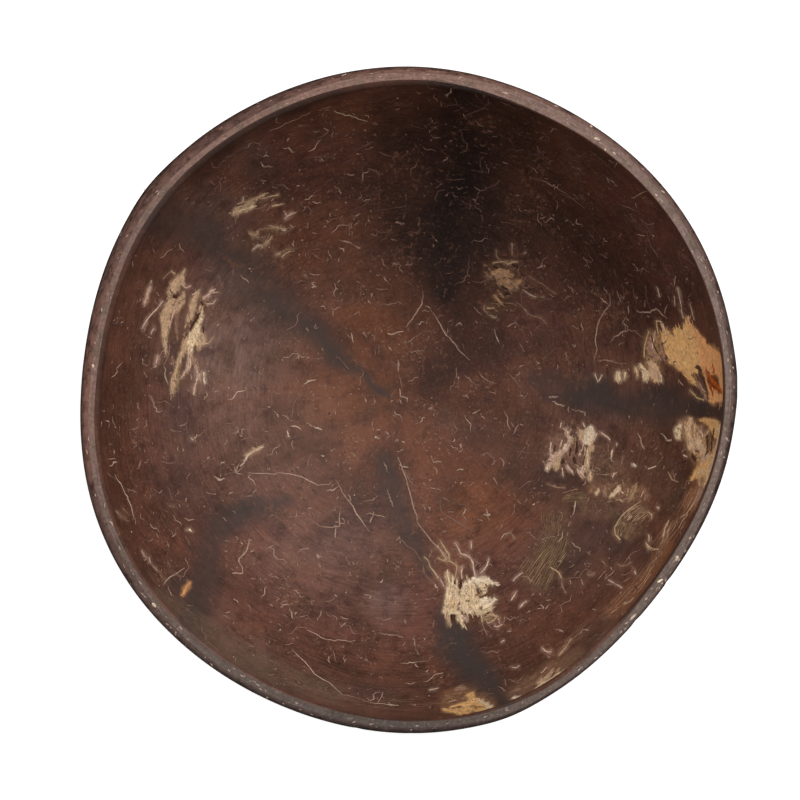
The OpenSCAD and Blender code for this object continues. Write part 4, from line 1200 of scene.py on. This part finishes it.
def fibre_colours(pale):
    """Colour of a fibre by how pale it is: dark brown, brown, tan, cream, read evenly between them."""
    stops = np.array([rgb(hex_colour) for hex_colour in ("#2a1d19", "#705248", "#ad8b79", "#d6bda4")])
    return np.stack([np.interp(pale, (0.0, 0.4, 0.8, 1.2), column) for column in stops.T], axis=-1)


def loose_fibres(rng):
    """Loose small fibres and specks: their places, half-widths and how pale they are.

    A loose fibre runs round the bowl near the rim and any way near the middle. Its heading sways and
    wanders at each step, and one step in ten bends sharply.
    """
    total = LOOSE_FIBRES + LOOSE_SPECKS
    reach = LOOSE_REACH_PX * np.sqrt(rng.uniform(0.0, 1.0, total))
    turn = rng.uniform(0.0, 2 * math.pi, total)
    middle = BOWL_PX + reach[:, None] * headed(turn)
    # They lie in loose groups: each is drawn towards the nearest crest of slow waves
    middle += 9.0 * np.stack([waves(*middle.T, 60.0, 8), waves(*middle.T, 60.0, 9)], axis=-1)
    # Few of them show in the smoke: most of those there are turned 40 degrees round the bowl
    hidden = (smoke_and_shade_at(*middle.T)[0] > 0.3) & (rng.uniform(0.0, 1.0, total) < 0.7)
    middle[hidden] = np.array(BOWL_PX) + (middle[hidden] - BOWL_PX) @ [[0.77, 0.64], [-0.64, 0.77]]
    loose = np.arange(total) < LOOSE_FIBRES
    length = np.where(loose, np.minimum(3.5 + rng.exponential(6.5, total), 34.0),
                      rng.uniform(1.2, 3.2, total))
    heading = turn + math.pi / 2 + rng.normal(0.0, 1.0, total) * np.where(reach > 200, 0.5, 1.4)
    turns = rng.normal(0.0, 0.2, (total, SHORT_STEPS))
    turns += rng.normal(0.0, 1.1, turns.shape) * (rng.uniform(0.0, 1.0, turns.shape) < 0.1)
    sway = np.sin(np.arange(SHORT_STEPS) * 1.7 + rng.uniform(0.0, 2 * math.pi, (total, 1)))
    angle = heading[:, None] + np.cumsum(turns, axis=1) + sway * rng.uniform(0.0, 0.9, (total, 1))
    stepped = headed(angle) * (length / SHORT_STEPS)[:, None, None]
    seen = middle[:, None, :] + np.cumsum(stepped, axis=1)
    seen -= stepped.sum(axis=1, keepdims=True) / 2.0
    width = np.where(loose, rng.uniform(0.15, 0.4, total), rng.uniform(0.22, 0.45, total))
    half = width[:, None] / 2.0 * pointed(SHORT_STEPS, 0.5)
    pale = np.where(loose, 0.4 + 0.62 * rng.uniform(0.0, 1.0, total) ** 1.3,
                    rng.uniform(0.3, 0.85, total))
    return seen, half, pale[:, None] * uneven(rng, (total, SHORT_STEPS), 0.18)


def make_fibres(material):
    """All raised fibres: the ones followed from the photograph, then loose ones drawn with one seed."""
    rng = np.random.default_rng(SEED)
    long_seen = np.stack([laid_out(np.reshape(flat, (-1, 2)), LONG_STEPS) for *_, flat in FIBRES])
    # A slight waver, so that no followed fibre is a clean curve
    long_seen += rng.normal(0.0, 0.45, long_seen.shape)
    given = np.array([fibre[:2] for fibre in FIBRES])
    long_half = given[:, :1] / 2.0 * pointed(LONG_STEPS, 0.4)
    long_pale = given[:, 1:] * uneven(rng, (len(FIBRES), LONG_STEPS), 0.2)

    batches = []
    for seen, half, pale, rise in ((long_seen, long_half, long_pale, 0.05),
                                   (*loose_fibres(rng), 0.04)):
        smoke, shade = smoke_and_shade_at(seen[..., 0], seen[..., 1])
        # A fibre is darker under the wall's shade, which is painted shade over dark stains, and under
        # the smoke
        pale = pale * np.clip(1.0 - 0.5 * shade - 0.25 * smoke, 0.0, 1.0)
        half = half * uneven(rng, half.shape, 0.2)
        rises, lifts = np.full(len(seen), rise), np.zeros(len(seen))
        batches.append((seen, half, rises, lifts, fibre_colours(pale), inside_height))
    return strand_piece("raised_fibres", batches, material)


def make_rim_grains(material):
    """Pale grains rubbed flush in the rim: the ones followed from the photograph and loose specks."""
    rng = np.random.default_rng(SEED + 2)
    shades = [rgb(SHADES[shade]) for shade, *_ in RIM_GRAINS]
    followed = (np.array([grain[1:3] for grain in RIM_GRAINS]) - BOWL_PX) * PIXEL
    direction = np.degrees(np.arctan2(-followed[:, 1], followed[:, 0]))
    direction = np.concatenate([direction, rng.uniform(0.0, 360.0, LOOSE_GRAINS)])
    # None lies off the rim: between the inner edge of its face and its brim
    inner = rim_edges(direction)[5] + GRAIN_MARGINS[0]
    outer = brim_distance(direction) - GRAIN_MARGINS[1]
    away = inner + (outer - inner) * rng.uniform(0.0, 1.0, len(direction))
    away[:len(followed)] = np.hypot(*followed.T)
    away = np.clip(away, inner, outer) / PIXEL
    middle = BOWL_PX + away[:, None] * headed(np.radians(direction))
    size = np.array([grain[3:] for grain in RIM_GRAINS])
    size = np.concatenate([size, rng.uniform((0.25, 0.15), (0.9, 0.3), (LOOSE_GRAINS, 2))])
    pale = rng.uniform(0.45, 1.0, LOOSE_GRAINS)
    colour = np.concatenate([shades, fibre_colours(pale)])
    colour = colour * 0.6 + rgb("#d2bcae") * 0.4
    heading = np.arctan2(BOWL_PX[1] - middle[:, 1], middle[:, 0] - BOWL_PX[0]) + math.pi / 2
    heading += rng.normal(0.0, 0.2, len(heading))
    along = np.linspace(-0.5, 0.5, SHORT_STEPS)[None, :, None] * (size[:, 0] / PIXEL)[:, None, None]
    seen = middle[:, None, :] + headed(heading)[:, None, :] * along
    seen = seen + rng.normal(0.0, 0.12, seen.shape)
    half = size[:, 1:] / 2.0 * pointed(SHORT_STEPS, 0.6) * uneven(rng, seen.shape[:2], 0.2)
    colour = colour[:, None, :] * uneven(rng, seen.shape[:2], 0.15)[..., None]
    rises, lifts = np.full(len(seen), 0.02), np.zeros(len(seen))
    return strand_piece("rim_grains", [(seen, half, rises, lifts, colour, rim_height)], material)


# Materials

def add(tree, kind, inputs=None, **settings):
    """Adds one shader node, with its settings, and its inputs as values or links."""
    made = tree.nodes.new("ShaderNode" + kind)
    for name, value in settings.items():
        setattr(made, name, value)
    for name, value in (inputs or {}).items():
        if isinstance(value, bpy.types.NodeSocket):
            tree.links.new(value, made.inputs[name])
        else:
            made.inputs[name].default_value = value
    return made.outputs


def new_material(name):
    """An empty material and its node tree."""
    material = bpy.data.materials.new(name)
    material.use_nodes = True
    material.node_tree.nodes.clear()
    return material, material.node_tree


def worn_flecks(tree, colour, mm, wear, clear, shade):
    """Small worn flecks in groups: tan specks of 0.4 mm inside orange brown ones of 1 mm."""
    group = add(tree, "TexNoise", {"Vector": mm, "Scale": 0.13, "Detail": 2.0})[0]
    worn = add(tree, "Math", {0: group, 1: 0.45, 2: wear}, operation="MULTIPLY_ADD")[0]
    worn_spot = add(tree, "MapRange", {0: worn, 1: 0.82, 2: 0.95, 3: 0.0, 4: 0.55})[0]
    colour = add(tree, "Mix", {0: worn_spot, 6: colour, 7: linear("#7d5340")}, data_type="RGBA")[2]
    grit = add(tree, "TexNoise", {"Vector": mm, "Scale": 1.9, "Detail": 3.0, "Roughness": 0.6,
                                  "Distortion": 0.8})[0]
    gritty = add(tree, "Math", {0: group, 1: 0.3, 2: grit}, operation="MULTIPLY_ADD")[0]
    speck = add(tree, "MapRange", {0: gritty, 1: 0.8, 2: 0.88, 3: 0.0, 4: 0.8})[0]
    speck = add(tree, "Math", {0: speck, 1: clear}, operation="MULTIPLY")[0]
    # The specks darken with the wall's shade: painted shade, and the dark stains under it
    dimmed = add(tree, "Mix", {0: shade, 6: linear("#a5846c"), 7: linear("#4c3a2c")},
                 data_type="RGBA")[2]
    return add(tree, "Mix", {0: speck, 6: colour, 7: dimmed}, data_type="RGBA")[2]


def bared_paint(tree, colour, dirt, dust, wear):
    """Paint round the bared grain, broken up by the dirt."""
    halo = add(tree, "Attribute", attribute_name="halo")["Fac"]
    halo_colour = add(tree, "Attribute", attribute_name="halo_colour")["Color"]
    ragged = add(tree, "Math", {0: dust, 1: 1.0, 2: halo}, operation="MULTIPLY_ADD")[0]
    ragged = add(tree, "MapRange", {0: ragged, 1: 1.0, 2: 1.4})[0]
    patchy = add(tree, "MapRange", {0: dirt, 1: 0.34, 2: 0.62, 3: 0.2, 4: 0.8})[0]
    soft = add(tree, "Math", {0: halo, 1: patchy}, operation="MULTIPLY", use_clamp=True)[0]
    shown = add(tree, "Math", {0: soft, 1: ragged}, operation="MAXIMUM")[0]
    # The bared grain is mottled: darker and paler spots of 0.8 mm, and finer ones
    mottle = add(tree, "MapRange", {0: wear, 1: 0.34, 2: 0.62, 3: 0.7, 4: 1.18})[0]
    finer = add(tree, "MapRange", {0: dust, 1: 0.32, 2: 0.68, 3: 0.78, 4: 1.2})[0]
    mottle = add(tree, "Math", {0: mottle, 1: finer}, operation="MULTIPLY")[0]
    bared = add(tree, "Mix", {0: 1.0, 6: halo_colour, 7: mottle},
                data_type="RGBA", blend_type="MULTIPLY")[2]
    return add(tree, "Mix", {0: shown, 6: colour, 7: bared}, data_type="RGBA")[2]


def coconut_inside():
    """Inner wall of a coconut: sanded, smoked along its seams and oiled to a satin.

    The eye sees a brown that is warm in the middle and nearly black at the top, where dark marks lie
    under painted shade, with soft smoke streaks, a painted greyish sheen in places, short marks running
    round the bowl, and fine greyish dust and tan flecks.
    """
    material, tree = new_material("oiled_coconut_shell_inside")
    # Object coordinates are in metres, and patterns are counted in millimetres
    place = add(tree, "TexCoord")["Object"]
    mm = add(tree, "VectorMath", {0: place, 3: 1.0 / METRES}, operation="SCALE")[0]
    # Clouds about 14 mm wide, hue drifts of 6 mm, dirt from 3 mm down to 0.1 mm, and dust under 0.6 mm
    cloud = add(tree, "TexNoise", {"Vector": mm, "Scale": 0.07, "Detail": 4.0, "Roughness": 0.6})[0]
    drift = add(tree, "TexNoise", {"Vector": mm, "Scale": 0.15, "Detail": 5.0, "Roughness": 0.52,
                                   "Distortion": 0.4})[0]
    dirt = add(tree, "TexNoise", {"Vector": mm, "Scale": 0.36, "Detail": 7.0, "Roughness": 0.62})[0]
    dust = add(tree, "TexNoise", {"Vector": mm, "Scale": 1.5, "Detail": 4.0, "Roughness": 0.75})[0]
    # Marks running round the bowl, about 7 mm long and 0.4 mm wide, which die out on its floor
    nut = add(tree, "Attribute", attribute_name="nut")["Vector"]
    marks_place = add(tree, "VectorMath", {0: nut, 1: (8.0, 8.0, 2.2)}, operation="MULTIPLY")[0]
    marks = add(tree, "TexNoise", {"Vector": marks_place, "Scale": 1.0, "Detail": 4.0, "Roughness": 0.6,
                                   "Distortion": 0.8})[0]
    down = add(tree, "SeparateXYZ", {0: nut})[2]
    walled = add(tree, "MapRange", {0: down, 1: -42.0, 2: -18.0})[0]
    marks = add(tree, "Mix", {0: walled, 2: 0.5, 3: marks})[0]
    tone, shade_and_smoke, edge = (
        add(tree, "SeparateXYZ", {0: add(tree, "Attribute", attribute_name=name)["Vector"]})
        for name in ("tone", "shade_and_smoke", "edge"))

    spread = add(tree, "MapRange", {0: cloud, 1: 0.35, 2: 0.68})[0]
    colour = add(tree, "Mix", {0: spread, 6: linear("#4c2f25"), 7: linear("#6f4433")},
                 data_type="RGBA")[2]
    broken = add(tree, "MapRange", {0: drift, 1: 0.36, 2: 0.6, 3: 0.6, 4: 1.1})[0]
    # Warm, ruddy and deep brown places, and painted sheen, a greyish haze where a soft reflection lies,
    # all broken up by the drift
    parts = ((tone[0], "#865032"), (tone[1], "#714a42"), (tone[2], "#856c63"), (edge[2], "#4b2619"))
    for part, hex_colour in parts:
        amount = add(tree, "Math", {0: part, 1: broken}, operation="MULTIPLY", use_clamp=True)[0]
        colour = add(tree, "Mix", {0: amount, 6: colour, 7: linear(hex_colour)}, data_type="RGBA")[2]
    # Hue drifts to olive brown, to orange brown and to dark red
    for noise, start, full, most, hex_colour in ((drift, 0.48, 0.32, 0.38, "#45372b"),
                                                 (drift, 0.52, 0.7, 0.38, "#7d4f3a"),
                                                 (dirt, 0.48, 0.36, 0.3, "#3a201a")):
        amount = add(tree, "MapRange", {0: noise, 1: start, 2: full, 3: 0.0, 4: most})[0]
        colour = add(tree, "Mix", {0: amount, 6: colour, 7: linear(hex_colour)}, data_type="RGBA")[2]
    # Painted shade over dark stains, and smoke, both a little streaky
    streaky = add(tree, "MapRange", {0: cloud, 1: 0.34, 2: 0.62, 3: 1.08, 4: 0.92})[0]
    for number, hex_colour in enumerate(("#1b110e", "#433b38")):
        amount = add(tree, "Math", {0: shade_and_smoke[number], 1: streaky},
                     operation="MULTIPLY", use_clamp=True)[0]
        colour = add(tree, "Mix", {0: amount, 6: colour, 7: linear(hex_colour)}, data_type="RGBA")[2]
    # Marks and dirt, which the smoke covers
    darker = add(tree, "MapRange", {0: marks, 1: 0.3, 2: 0.7, 3: 0.7, 4: 1.28})[0]
    finer = add(tree, "MapRange", {0: dirt, 1: 0.32, 2: 0.68, 3: 0.9, 4: 1.1})[0]
    shading = add(tree, "Math", {0: darker, 1: finer}, operation="MULTIPLY")[0]
    smoothed = add(tree, "Math", {0: shade_and_smoke[1], 1: 0.9}, operation="MULTIPLY")[0]
    shading = add(tree, "Mix", {0: smoothed, 2: shading, 3: 1.0})[0]
    colour = add(tree, "Mix", {0: 1.0, 6: colour, 7: shading},
                 data_type="RGBA", blend_type="MULTIPLY")[2]
    # Greyish dust in the pores, and dark pores
    pores = add(tree, "MapRange", {0: dust, 1: 0.46, 2: 0.3, 3: 0.0, 4: 0.12})[0]
    colour = add(tree, "Mix", {0: pores, 6: colour, 7: linear("#140e0c")}, data_type="RGBA")[2]
    clear = add(tree, "MapRange", {0: shade_and_smoke[1], 1: 0.1, 2: 0.6, 3: 1.0, 4: 0.15})[0]
    dusty = add(tree, "MapRange", {0: dust, 1: 0.52, 2: 0.74, 3: 0.0, 4: 0.24})[0]
    dusty = add(tree, "Math", {0: dusty, 1: clear}, operation="MULTIPLY")[0]
    # The dust darkens with the wall's shade: painted shade, and the dark stains under it
    lit_dust = add(tree, "Mix", {0: shade_and_smoke[0], 6: linear("#a3897b"), 7: linear("#5c4f4b")},
                   data_type="RGBA")[2]
    colour = add(tree, "Mix", {0: dusty, 6: colour, 7: lit_dust}, data_type="RGBA")[2]
    wear = add(tree, "TexNoise", {"Vector": mm, "Scale": 0.85, "Detail": 4.0, "Roughness": 0.6,
                                  "Distortion": 0.6})[0]
    colour = worn_flecks(tree, colour, mm, wear, clear, shade_and_smoke[0])
    colour = bared_paint(tree, colour, dirt, dust, wear)
    # Painted shade: the dark line along the lip
    colour = add(tree, "Mix", {0: shade_and_smoke[2], 6: colour, 7: linear("#2b1f1b")}, data_type="RGBA")[2]

    rough = add(tree, "MapRange", {0: dirt, 1: 0.3, 2: 0.7, 3: 0.44, 4: 0.6})[0]
    relief = add(tree, "Math", {0: marks, 1: 0.5, 2: dirt}, operation="MULTIPLY_ADD")[0]
    bump = add(tree, "Bump", {"Height": relief, "Strength": 0.35, "Distance": 0.0002})[0]
    shader = add(tree, "BsdfPrincipled", {"Base Color": colour, "Roughness": rough, "Normal": bump,
                                          "IOR": 1.5, "Specular IOR Level": 0.14})[0]
    add(tree, "OutputMaterial", {"Surface": shader})
    return material


def coconut_edge():
    """Sawn face of the rim: hard shell cut across, mauve-brown and matt, with sanding streaks.

    Its outer part is stained a redder brown by the oil, it drifts to olive in places, and it is
    darker on one side of the bowl.
    """
    material, tree = new_material("sawn_coconut_shell_edge")
    place = add(tree, "TexCoord")["Object"]
    mm = add(tree, "VectorMath", {0: place, 3: 1.0 / METRES}, operation="SCALE")[0]
    edge, rim, nut = (
        add(tree, "SeparateXYZ", {0: add(tree, "Attribute", attribute_name=name)["Vector"]})
        for name in ("edge", "rim", "nut"))
    # Sanding streaks run round the rim, about 6 mm long and 0.3 mm wide; pores are 0.3 mm
    around_rim = add(tree, "CombineXYZ", {0: nut[0], 1: nut[1], 2: rim[2]})[0]
    streak_place = add(tree, "VectorMath", {0: around_rim, 1: (13.0, 13.0, 2.6)},
                       operation="MULTIPLY")[0]
    streak = add(tree, "TexNoise", {"Vector": streak_place, "Scale": 1.0, "Detail": 6.0,
                                    "Roughness": 0.7, "Distortion": 0.6})[0]
    grit = add(tree, "TexNoise", {"Vector": mm, "Scale": 1.5, "Detail": 5.0, "Roughness": 0.75})[0]
    cloud = add(tree, "TexNoise", {"Vector": mm, "Scale": 0.25, "Detail": 5.0, "Roughness": 0.6})[0]
    colour = add(tree, "Mix", {0: rim[0], 6: linear("#82726a"), 7: linear("#89685d")},
                 data_type="RGBA")[2]
    olive = add(tree, "MapRange", {0: cloud, 1: 0.5, 2: 0.38, 3: 0.0, 4: 0.6})[0]
    colour = add(tree, "Mix", {0: olive, 6: colour, 7: linear("#6d5e4f")}, data_type="RGBA")[2]
    colour = add(tree, "Mix", {0: rim[1], 6: colour, 7: linear("#4a423d")}, data_type="RGBA")[2]
    # Where the oil has soaked in from outside: it starts at the stored share and has a ragged edge
    soaked = add(tree, "Math", {0: cloud, 1: 0.8, 2: edge[0]}, operation="MULTIPLY_ADD")[0]
    soaked = add(tree, "Math", {0: streak, 1: 0.6, 2: soaked}, operation="MULTIPLY_ADD")[0]
    soaked = add(tree, "MapRange", {0: soaked, 1: 1.1, 2: 1.4, 3: 0.0, 4: 0.9})[0]
    oiled = add(tree, "Mix", {0: rim[0], 6: linear("#5f4e48"), 7: linear("#795649")},
                data_type="RGBA")[2]
    oiled = add(tree, "Mix", {0: edge[2], 6: oiled, 7: linear("#3a302e")}, data_type="RGBA")[2]
    colour = add(tree, "Mix", {0: soaked, 6: colour, 7: oiled}, data_type="RGBA")[2]
    dark = add(tree, "MapRange", {0: streak, 1: 0.5, 2: 0.34, 3: 0.0, 4: 0.6})[0]
    colour = add(tree, "Mix", {0: dark, 6: colour, 7: linear("#4c3932")}, data_type="RGBA")[2]
    rubbed = add(tree, "MapRange", {0: grit, 1: 0.3, 2: 0.7, 3: 0.65, 4: 1.35})[0]
    colour = add(tree, "Mix", {0: 1.0, 6: colour, 7: rubbed},
                 data_type="RGBA", blend_type="MULTIPLY")[2]
    dust = add(tree, "MapRange", {0: grit, 1: 0.6, 2: 0.72, 3: 0.0, 4: 0.6})[0]
    colour = add(tree, "Mix", {0: dust, 6: colour, 7: linear("#ab9a8c")}, data_type="RGBA")[2]
    bump = add(tree, "Bump", {"Height": streak, "Strength": 0.4, "Distance": 0.0003})[0]
    shader = add(tree, "BsdfPrincipled", {"Base Color": colour, "Roughness": 0.65, "Normal": bump,
                                          "IOR": 1.5, "Specular IOR Level": 0.1})[0]
    add(tree, "OutputMaterial", {"Surface": shader})
    return material


def coconut_outside():
    """Outer wall of a coconut: husk sanded off and rubbed with oil until it is dull.

    The eye sees dark brown with fine pale flecks that run from foot to rim, a redder brown band
    under the rim where the bevel cuts into it, a darker line along its brink, and a paler flat
    sanded underneath.
    """
    material, tree = new_material("oiled_coconut_shell_outside")
    place = add(tree, "TexCoord")["Object"]
    mm = add(tree, "VectorMath", {0: place, 3: 1.0 / METRES}, operation="SCALE")[0]
    nut = add(tree, "Attribute", attribute_name="nut")["Vector"]
    edge, rim = (
        add(tree, "SeparateXYZ", {0: add(tree, "Attribute", attribute_name=name)["Vector"]})
        for name in ("edge", "rim"))
    # Fibre lines run from foot to rim: about 0.6 mm wide at the belly and 15 mm long
    line_place = add(tree, "VectorMath", {0: nut, 1: (110.0, 110.0, 0.08)}, operation="MULTIPLY")[0]
    lines = add(tree, "TexNoise", {"Vector": line_place, "Scale": 1.0, "Detail": 4.0, "Roughness": 0.6,
                                   "Distortion": 0.5})[0]
    cloud = add(tree, "TexNoise", {"Vector": mm, "Scale": 0.06, "Detail": 5.0, "Roughness": 0.6})[0]
    dirt = add(tree, "TexNoise", {"Vector": mm, "Scale": 0.4, "Detail": 6.0, "Roughness": 0.7})[0]
    grit = add(tree, "TexNoise", {"Vector": mm, "Scale": 1.8, "Detail": 3.0})[0]
    wide = add(tree, "MapRange", {0: cloud, 1: 0.38, 2: 0.64})[0]
    colour = add(tree, "Mix", {0: wide, 6: linear("#2c1d17"), 7: linear("#50352a")},
                 data_type="RGBA")[2]
    # Pale fibre lines, dark lines between them, and pale dots
    for noise, start, full, most, hex_colour in ((lines, 0.58, 0.7, 0.5, "#84654c"),
                                                 (lines, 0.42, 0.32, 0.7, "#1b120e"),
                                                 (grit, 0.68, 0.76, 0.6, "#9b7c60")):
        amount = add(tree, "MapRange", {0: noise, 1: start, 2: full, 3: 0.0, 4: most})[0]
        colour = add(tree, "Mix", {0: amount, 6: colour, 7: linear(hex_colour)}, data_type="RGBA")[2]
    # Band under the rim, redder where the rim is, with dark patches 4 mm long and a dark brink
    banded = add(tree, "Mix", {0: rim[0], 6: linear("#5a4d47"), 7: linear("#856054")},
                 data_type="RGBA")[2]
    banded = add(tree, "Mix", {0: edge[2], 6: banded, 7: linear("#3a302e")}, data_type="RGBA")[2]
    for part, start, full, most, hex_colour in ((dirt, 0.48, 0.36, 0.6, "#3f2d27"),
                                                (rim[2], 0.9, 0.1, 0.75, "#2a1f1c")):
        amount = add(tree, "MapRange", {0: part, 1: start, 2: full, 3: 0.0, 4: most})[0]
        banded = add(tree, "Mix", {0: amount, 6: banded, 7: linear(hex_colour)}, data_type="RGBA")[2]
    colour = add(tree, "Mix", {0: edge[0], 6: colour, 7: banded}, data_type="RGBA")[2]
    sanded = add(tree, "Mix", {0: wide, 6: linear("#74543f"), 7: linear("#8c6a52")},
                 data_type="RGBA")[2]
    colour = add(tree, "Mix", {0: edge[1], 6: colour, 7: sanded}, data_type="RGBA")[2]
    rubbed = add(tree, "MapRange", {0: dirt, 1: 0.32, 2: 0.68, 3: 0.55, 4: 1.45})[0]
    colour = add(tree, "Mix", {0: 1.0, 6: colour, 7: rubbed},
                 data_type="RGBA", blend_type="MULTIPLY")[2]
    rough = add(tree, "MapRange", {0: dirt, 1: 0.3, 2: 0.7, 3: 0.38, 4: 0.56})[0]
    relief = add(tree, "Math", {0: dirt, 1: 0.5, 2: lines}, operation="MULTIPLY_ADD")[0]
    bump = add(tree, "Bump", {"Height": relief, "Strength": 0.4, "Distance": 0.0003})[0]
    shader = add(tree, "BsdfPrincipled", {"Base Color": colour, "Roughness": rough, "Normal": bump,
                                          "IOR": 1.5, "Specular IOR Level": 0.0})[0]
    add(tree, "OutputMaterial", {"Surface": shader})
    return material


def coconut_grain():
    """Bared grain and single fibres of the shell, sanded flush and oiled: dull, each in its own tone.

    Grit of about 0.6 mm mottles them.
    """
    material, tree = new_material("oiled_coconut_fibre")
    place = add(tree, "TexCoord")["Object"]
    mm = add(tree, "VectorMath", {0: place, 3: 1.0 / METRES}, operation="SCALE")[0]
    colour = add(tree, "Attribute", attribute_name="strand_colour")["Color"]
    grit = add(tree, "TexNoise", {"Vector": mm, "Scale": 1.6, "Detail": 4.0, "Roughness": 0.7})[0]
    rubbed = add(tree, "MapRange", {0: grit, 1: 0.32, 2: 0.68, 3: 0.68, 4: 1.25})[0]
    colour = add(tree, "Mix", {0: 1.0, 6: colour, 7: rubbed},
                 data_type="RGBA", blend_type="MULTIPLY")[2]
    shader = add(tree, "BsdfPrincipled", {"Base Color": colour, "Roughness": 0.6, "IOR": 1.5,
                                          "Specular IOR Level": 0.15})[0]
    add(tree, "OutputMaterial", {"Surface": shader})
    return material


def studio_floor():
    """White paper sweep: it shows white to the camera and in gloss, and keeps the bowl's shadow."""
    material, tree = new_material("white_paper")
    ray = add(tree, "LightPath")
    seen = add(tree, "Math", {0: ray["Is Camera Ray"], 1: ray["Is Glossy Ray"]}, operation="MAXIMUM")[0]
    seen = add(tree, "Math", {0: seen, 1: ray["Is Transmission Ray"]}, operation="MAXIMUM")[0]
    lift = add(tree, "Math", {0: seen, 1: 0.75}, operation="MULTIPLY")[0]
    paper = add(tree, "BsdfDiffuse", {"Color": linear("#c8c8c8")})[0]
    glow = add(tree, "Emission", {"Color": (1, 1, 1, 1), "Strength": lift})[0]
    both = add(tree, "AddShader", {0: paper, 1: glow})[0]
    add(tree, "OutputMaterial", {"Surface": both})
    return material


def make_floor(material):
    """A round sheet just under the bowl: a fan of triangles round its middle."""
    radius, corners, gap = 6000.0, 64, 0.02
    a = np.linspace(0.0, 2 * math.pi, corners, endpoint=False)
    circle = np.stack([radius * np.cos(a), radius * np.sin(a), 0.0 * a], axis=-1)
    points = np.concatenate([circle, [[0.0, 0.0, 0.0]]]) - [0, 0, gap]
    k = np.arange(corners)
    fan = np.stack([k, (k + 1) % corners, np.full(corners, corners)], axis=-1)
    floor = new_piece("floor", points, np.zeros((0, 4), dtype=int), fan, [material])


def soft_light(name, place, aim, size, power):
    """A round soft lamp at a place in metres, turned towards its aim."""
    lamp = bpy.data.lights.new(name, "AREA")
    lamp.shape = "DISK"
    lamp.size = size
    lamp.energy = power
    holder = bpy.data.objects.new(name, lamp)
    holder.location = place
    holder.rotation_euler = (Vector(aim) - Vector(place)).to_track_quat("-Z", "Y").to_euler()
    bpy.context.scene.collection.objects.link(holder)


def make_studio():
    """Plain soft light: a grey world all round, a wide lamp to the upper right and one overhead."""
    world = bpy.data.worlds.new("studio")
    bpy.context.scene.world = world
    world.use_nodes = True
    background = world.node_tree.nodes["Background"].inputs
    background["Color"].default_value = (1, 1, 1, 1)
    background["Strength"].default_value = 0.5
    # Each lamp's place, its width and its power in watts; both point at the bowl's middle
    for name, place, size, power in (("key", (0.5, 0.6, 1.0), 0.8, 7.5),
                                     ("overhead", (-0.25, 0.1, 1.3), 1.0, 4.0)):
        soft_light(name, place, (0.0, 0.0, 0.03), size, power)


def make_camera():
    """Looks straight down at the rim, far off, with a pixel at the rim as large as the photograph's."""
    data = bpy.data.cameras.new("camera")
    half = FRAME_MIDDLE * PIXEL
    data.sensor_width = 36.0
    data.lens = data.sensor_width / 2.0 * CAMERA_REACH / half
    # Far enough for the whole floor
    data.clip_end = 50.0
    camera = bpy.data.objects.new("camera", data)
    camera.location = (CAMERA_X * METRES, CAMERA_Y * METRES, (BOWL_H + CAMERA_REACH) * METRES)
    bpy.context.scene.collection.objects.link(camera)
    bpy.context.scene.camera = camera


make_camera()
make_studio()
make_floor(studio_floor())

shell = make_shell([coconut_outside(), coconut_edge(), coconut_inside()])
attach(shell, "root")
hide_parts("shell")
strand_material = coconut_grain()
for make_strands in (make_bared_grain, make_fibres, make_rim_grains):
    strands = make_strands(strand_material)
    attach(strands, "root")

bpy.context.scene.view_settings.view_transform = "Standard"
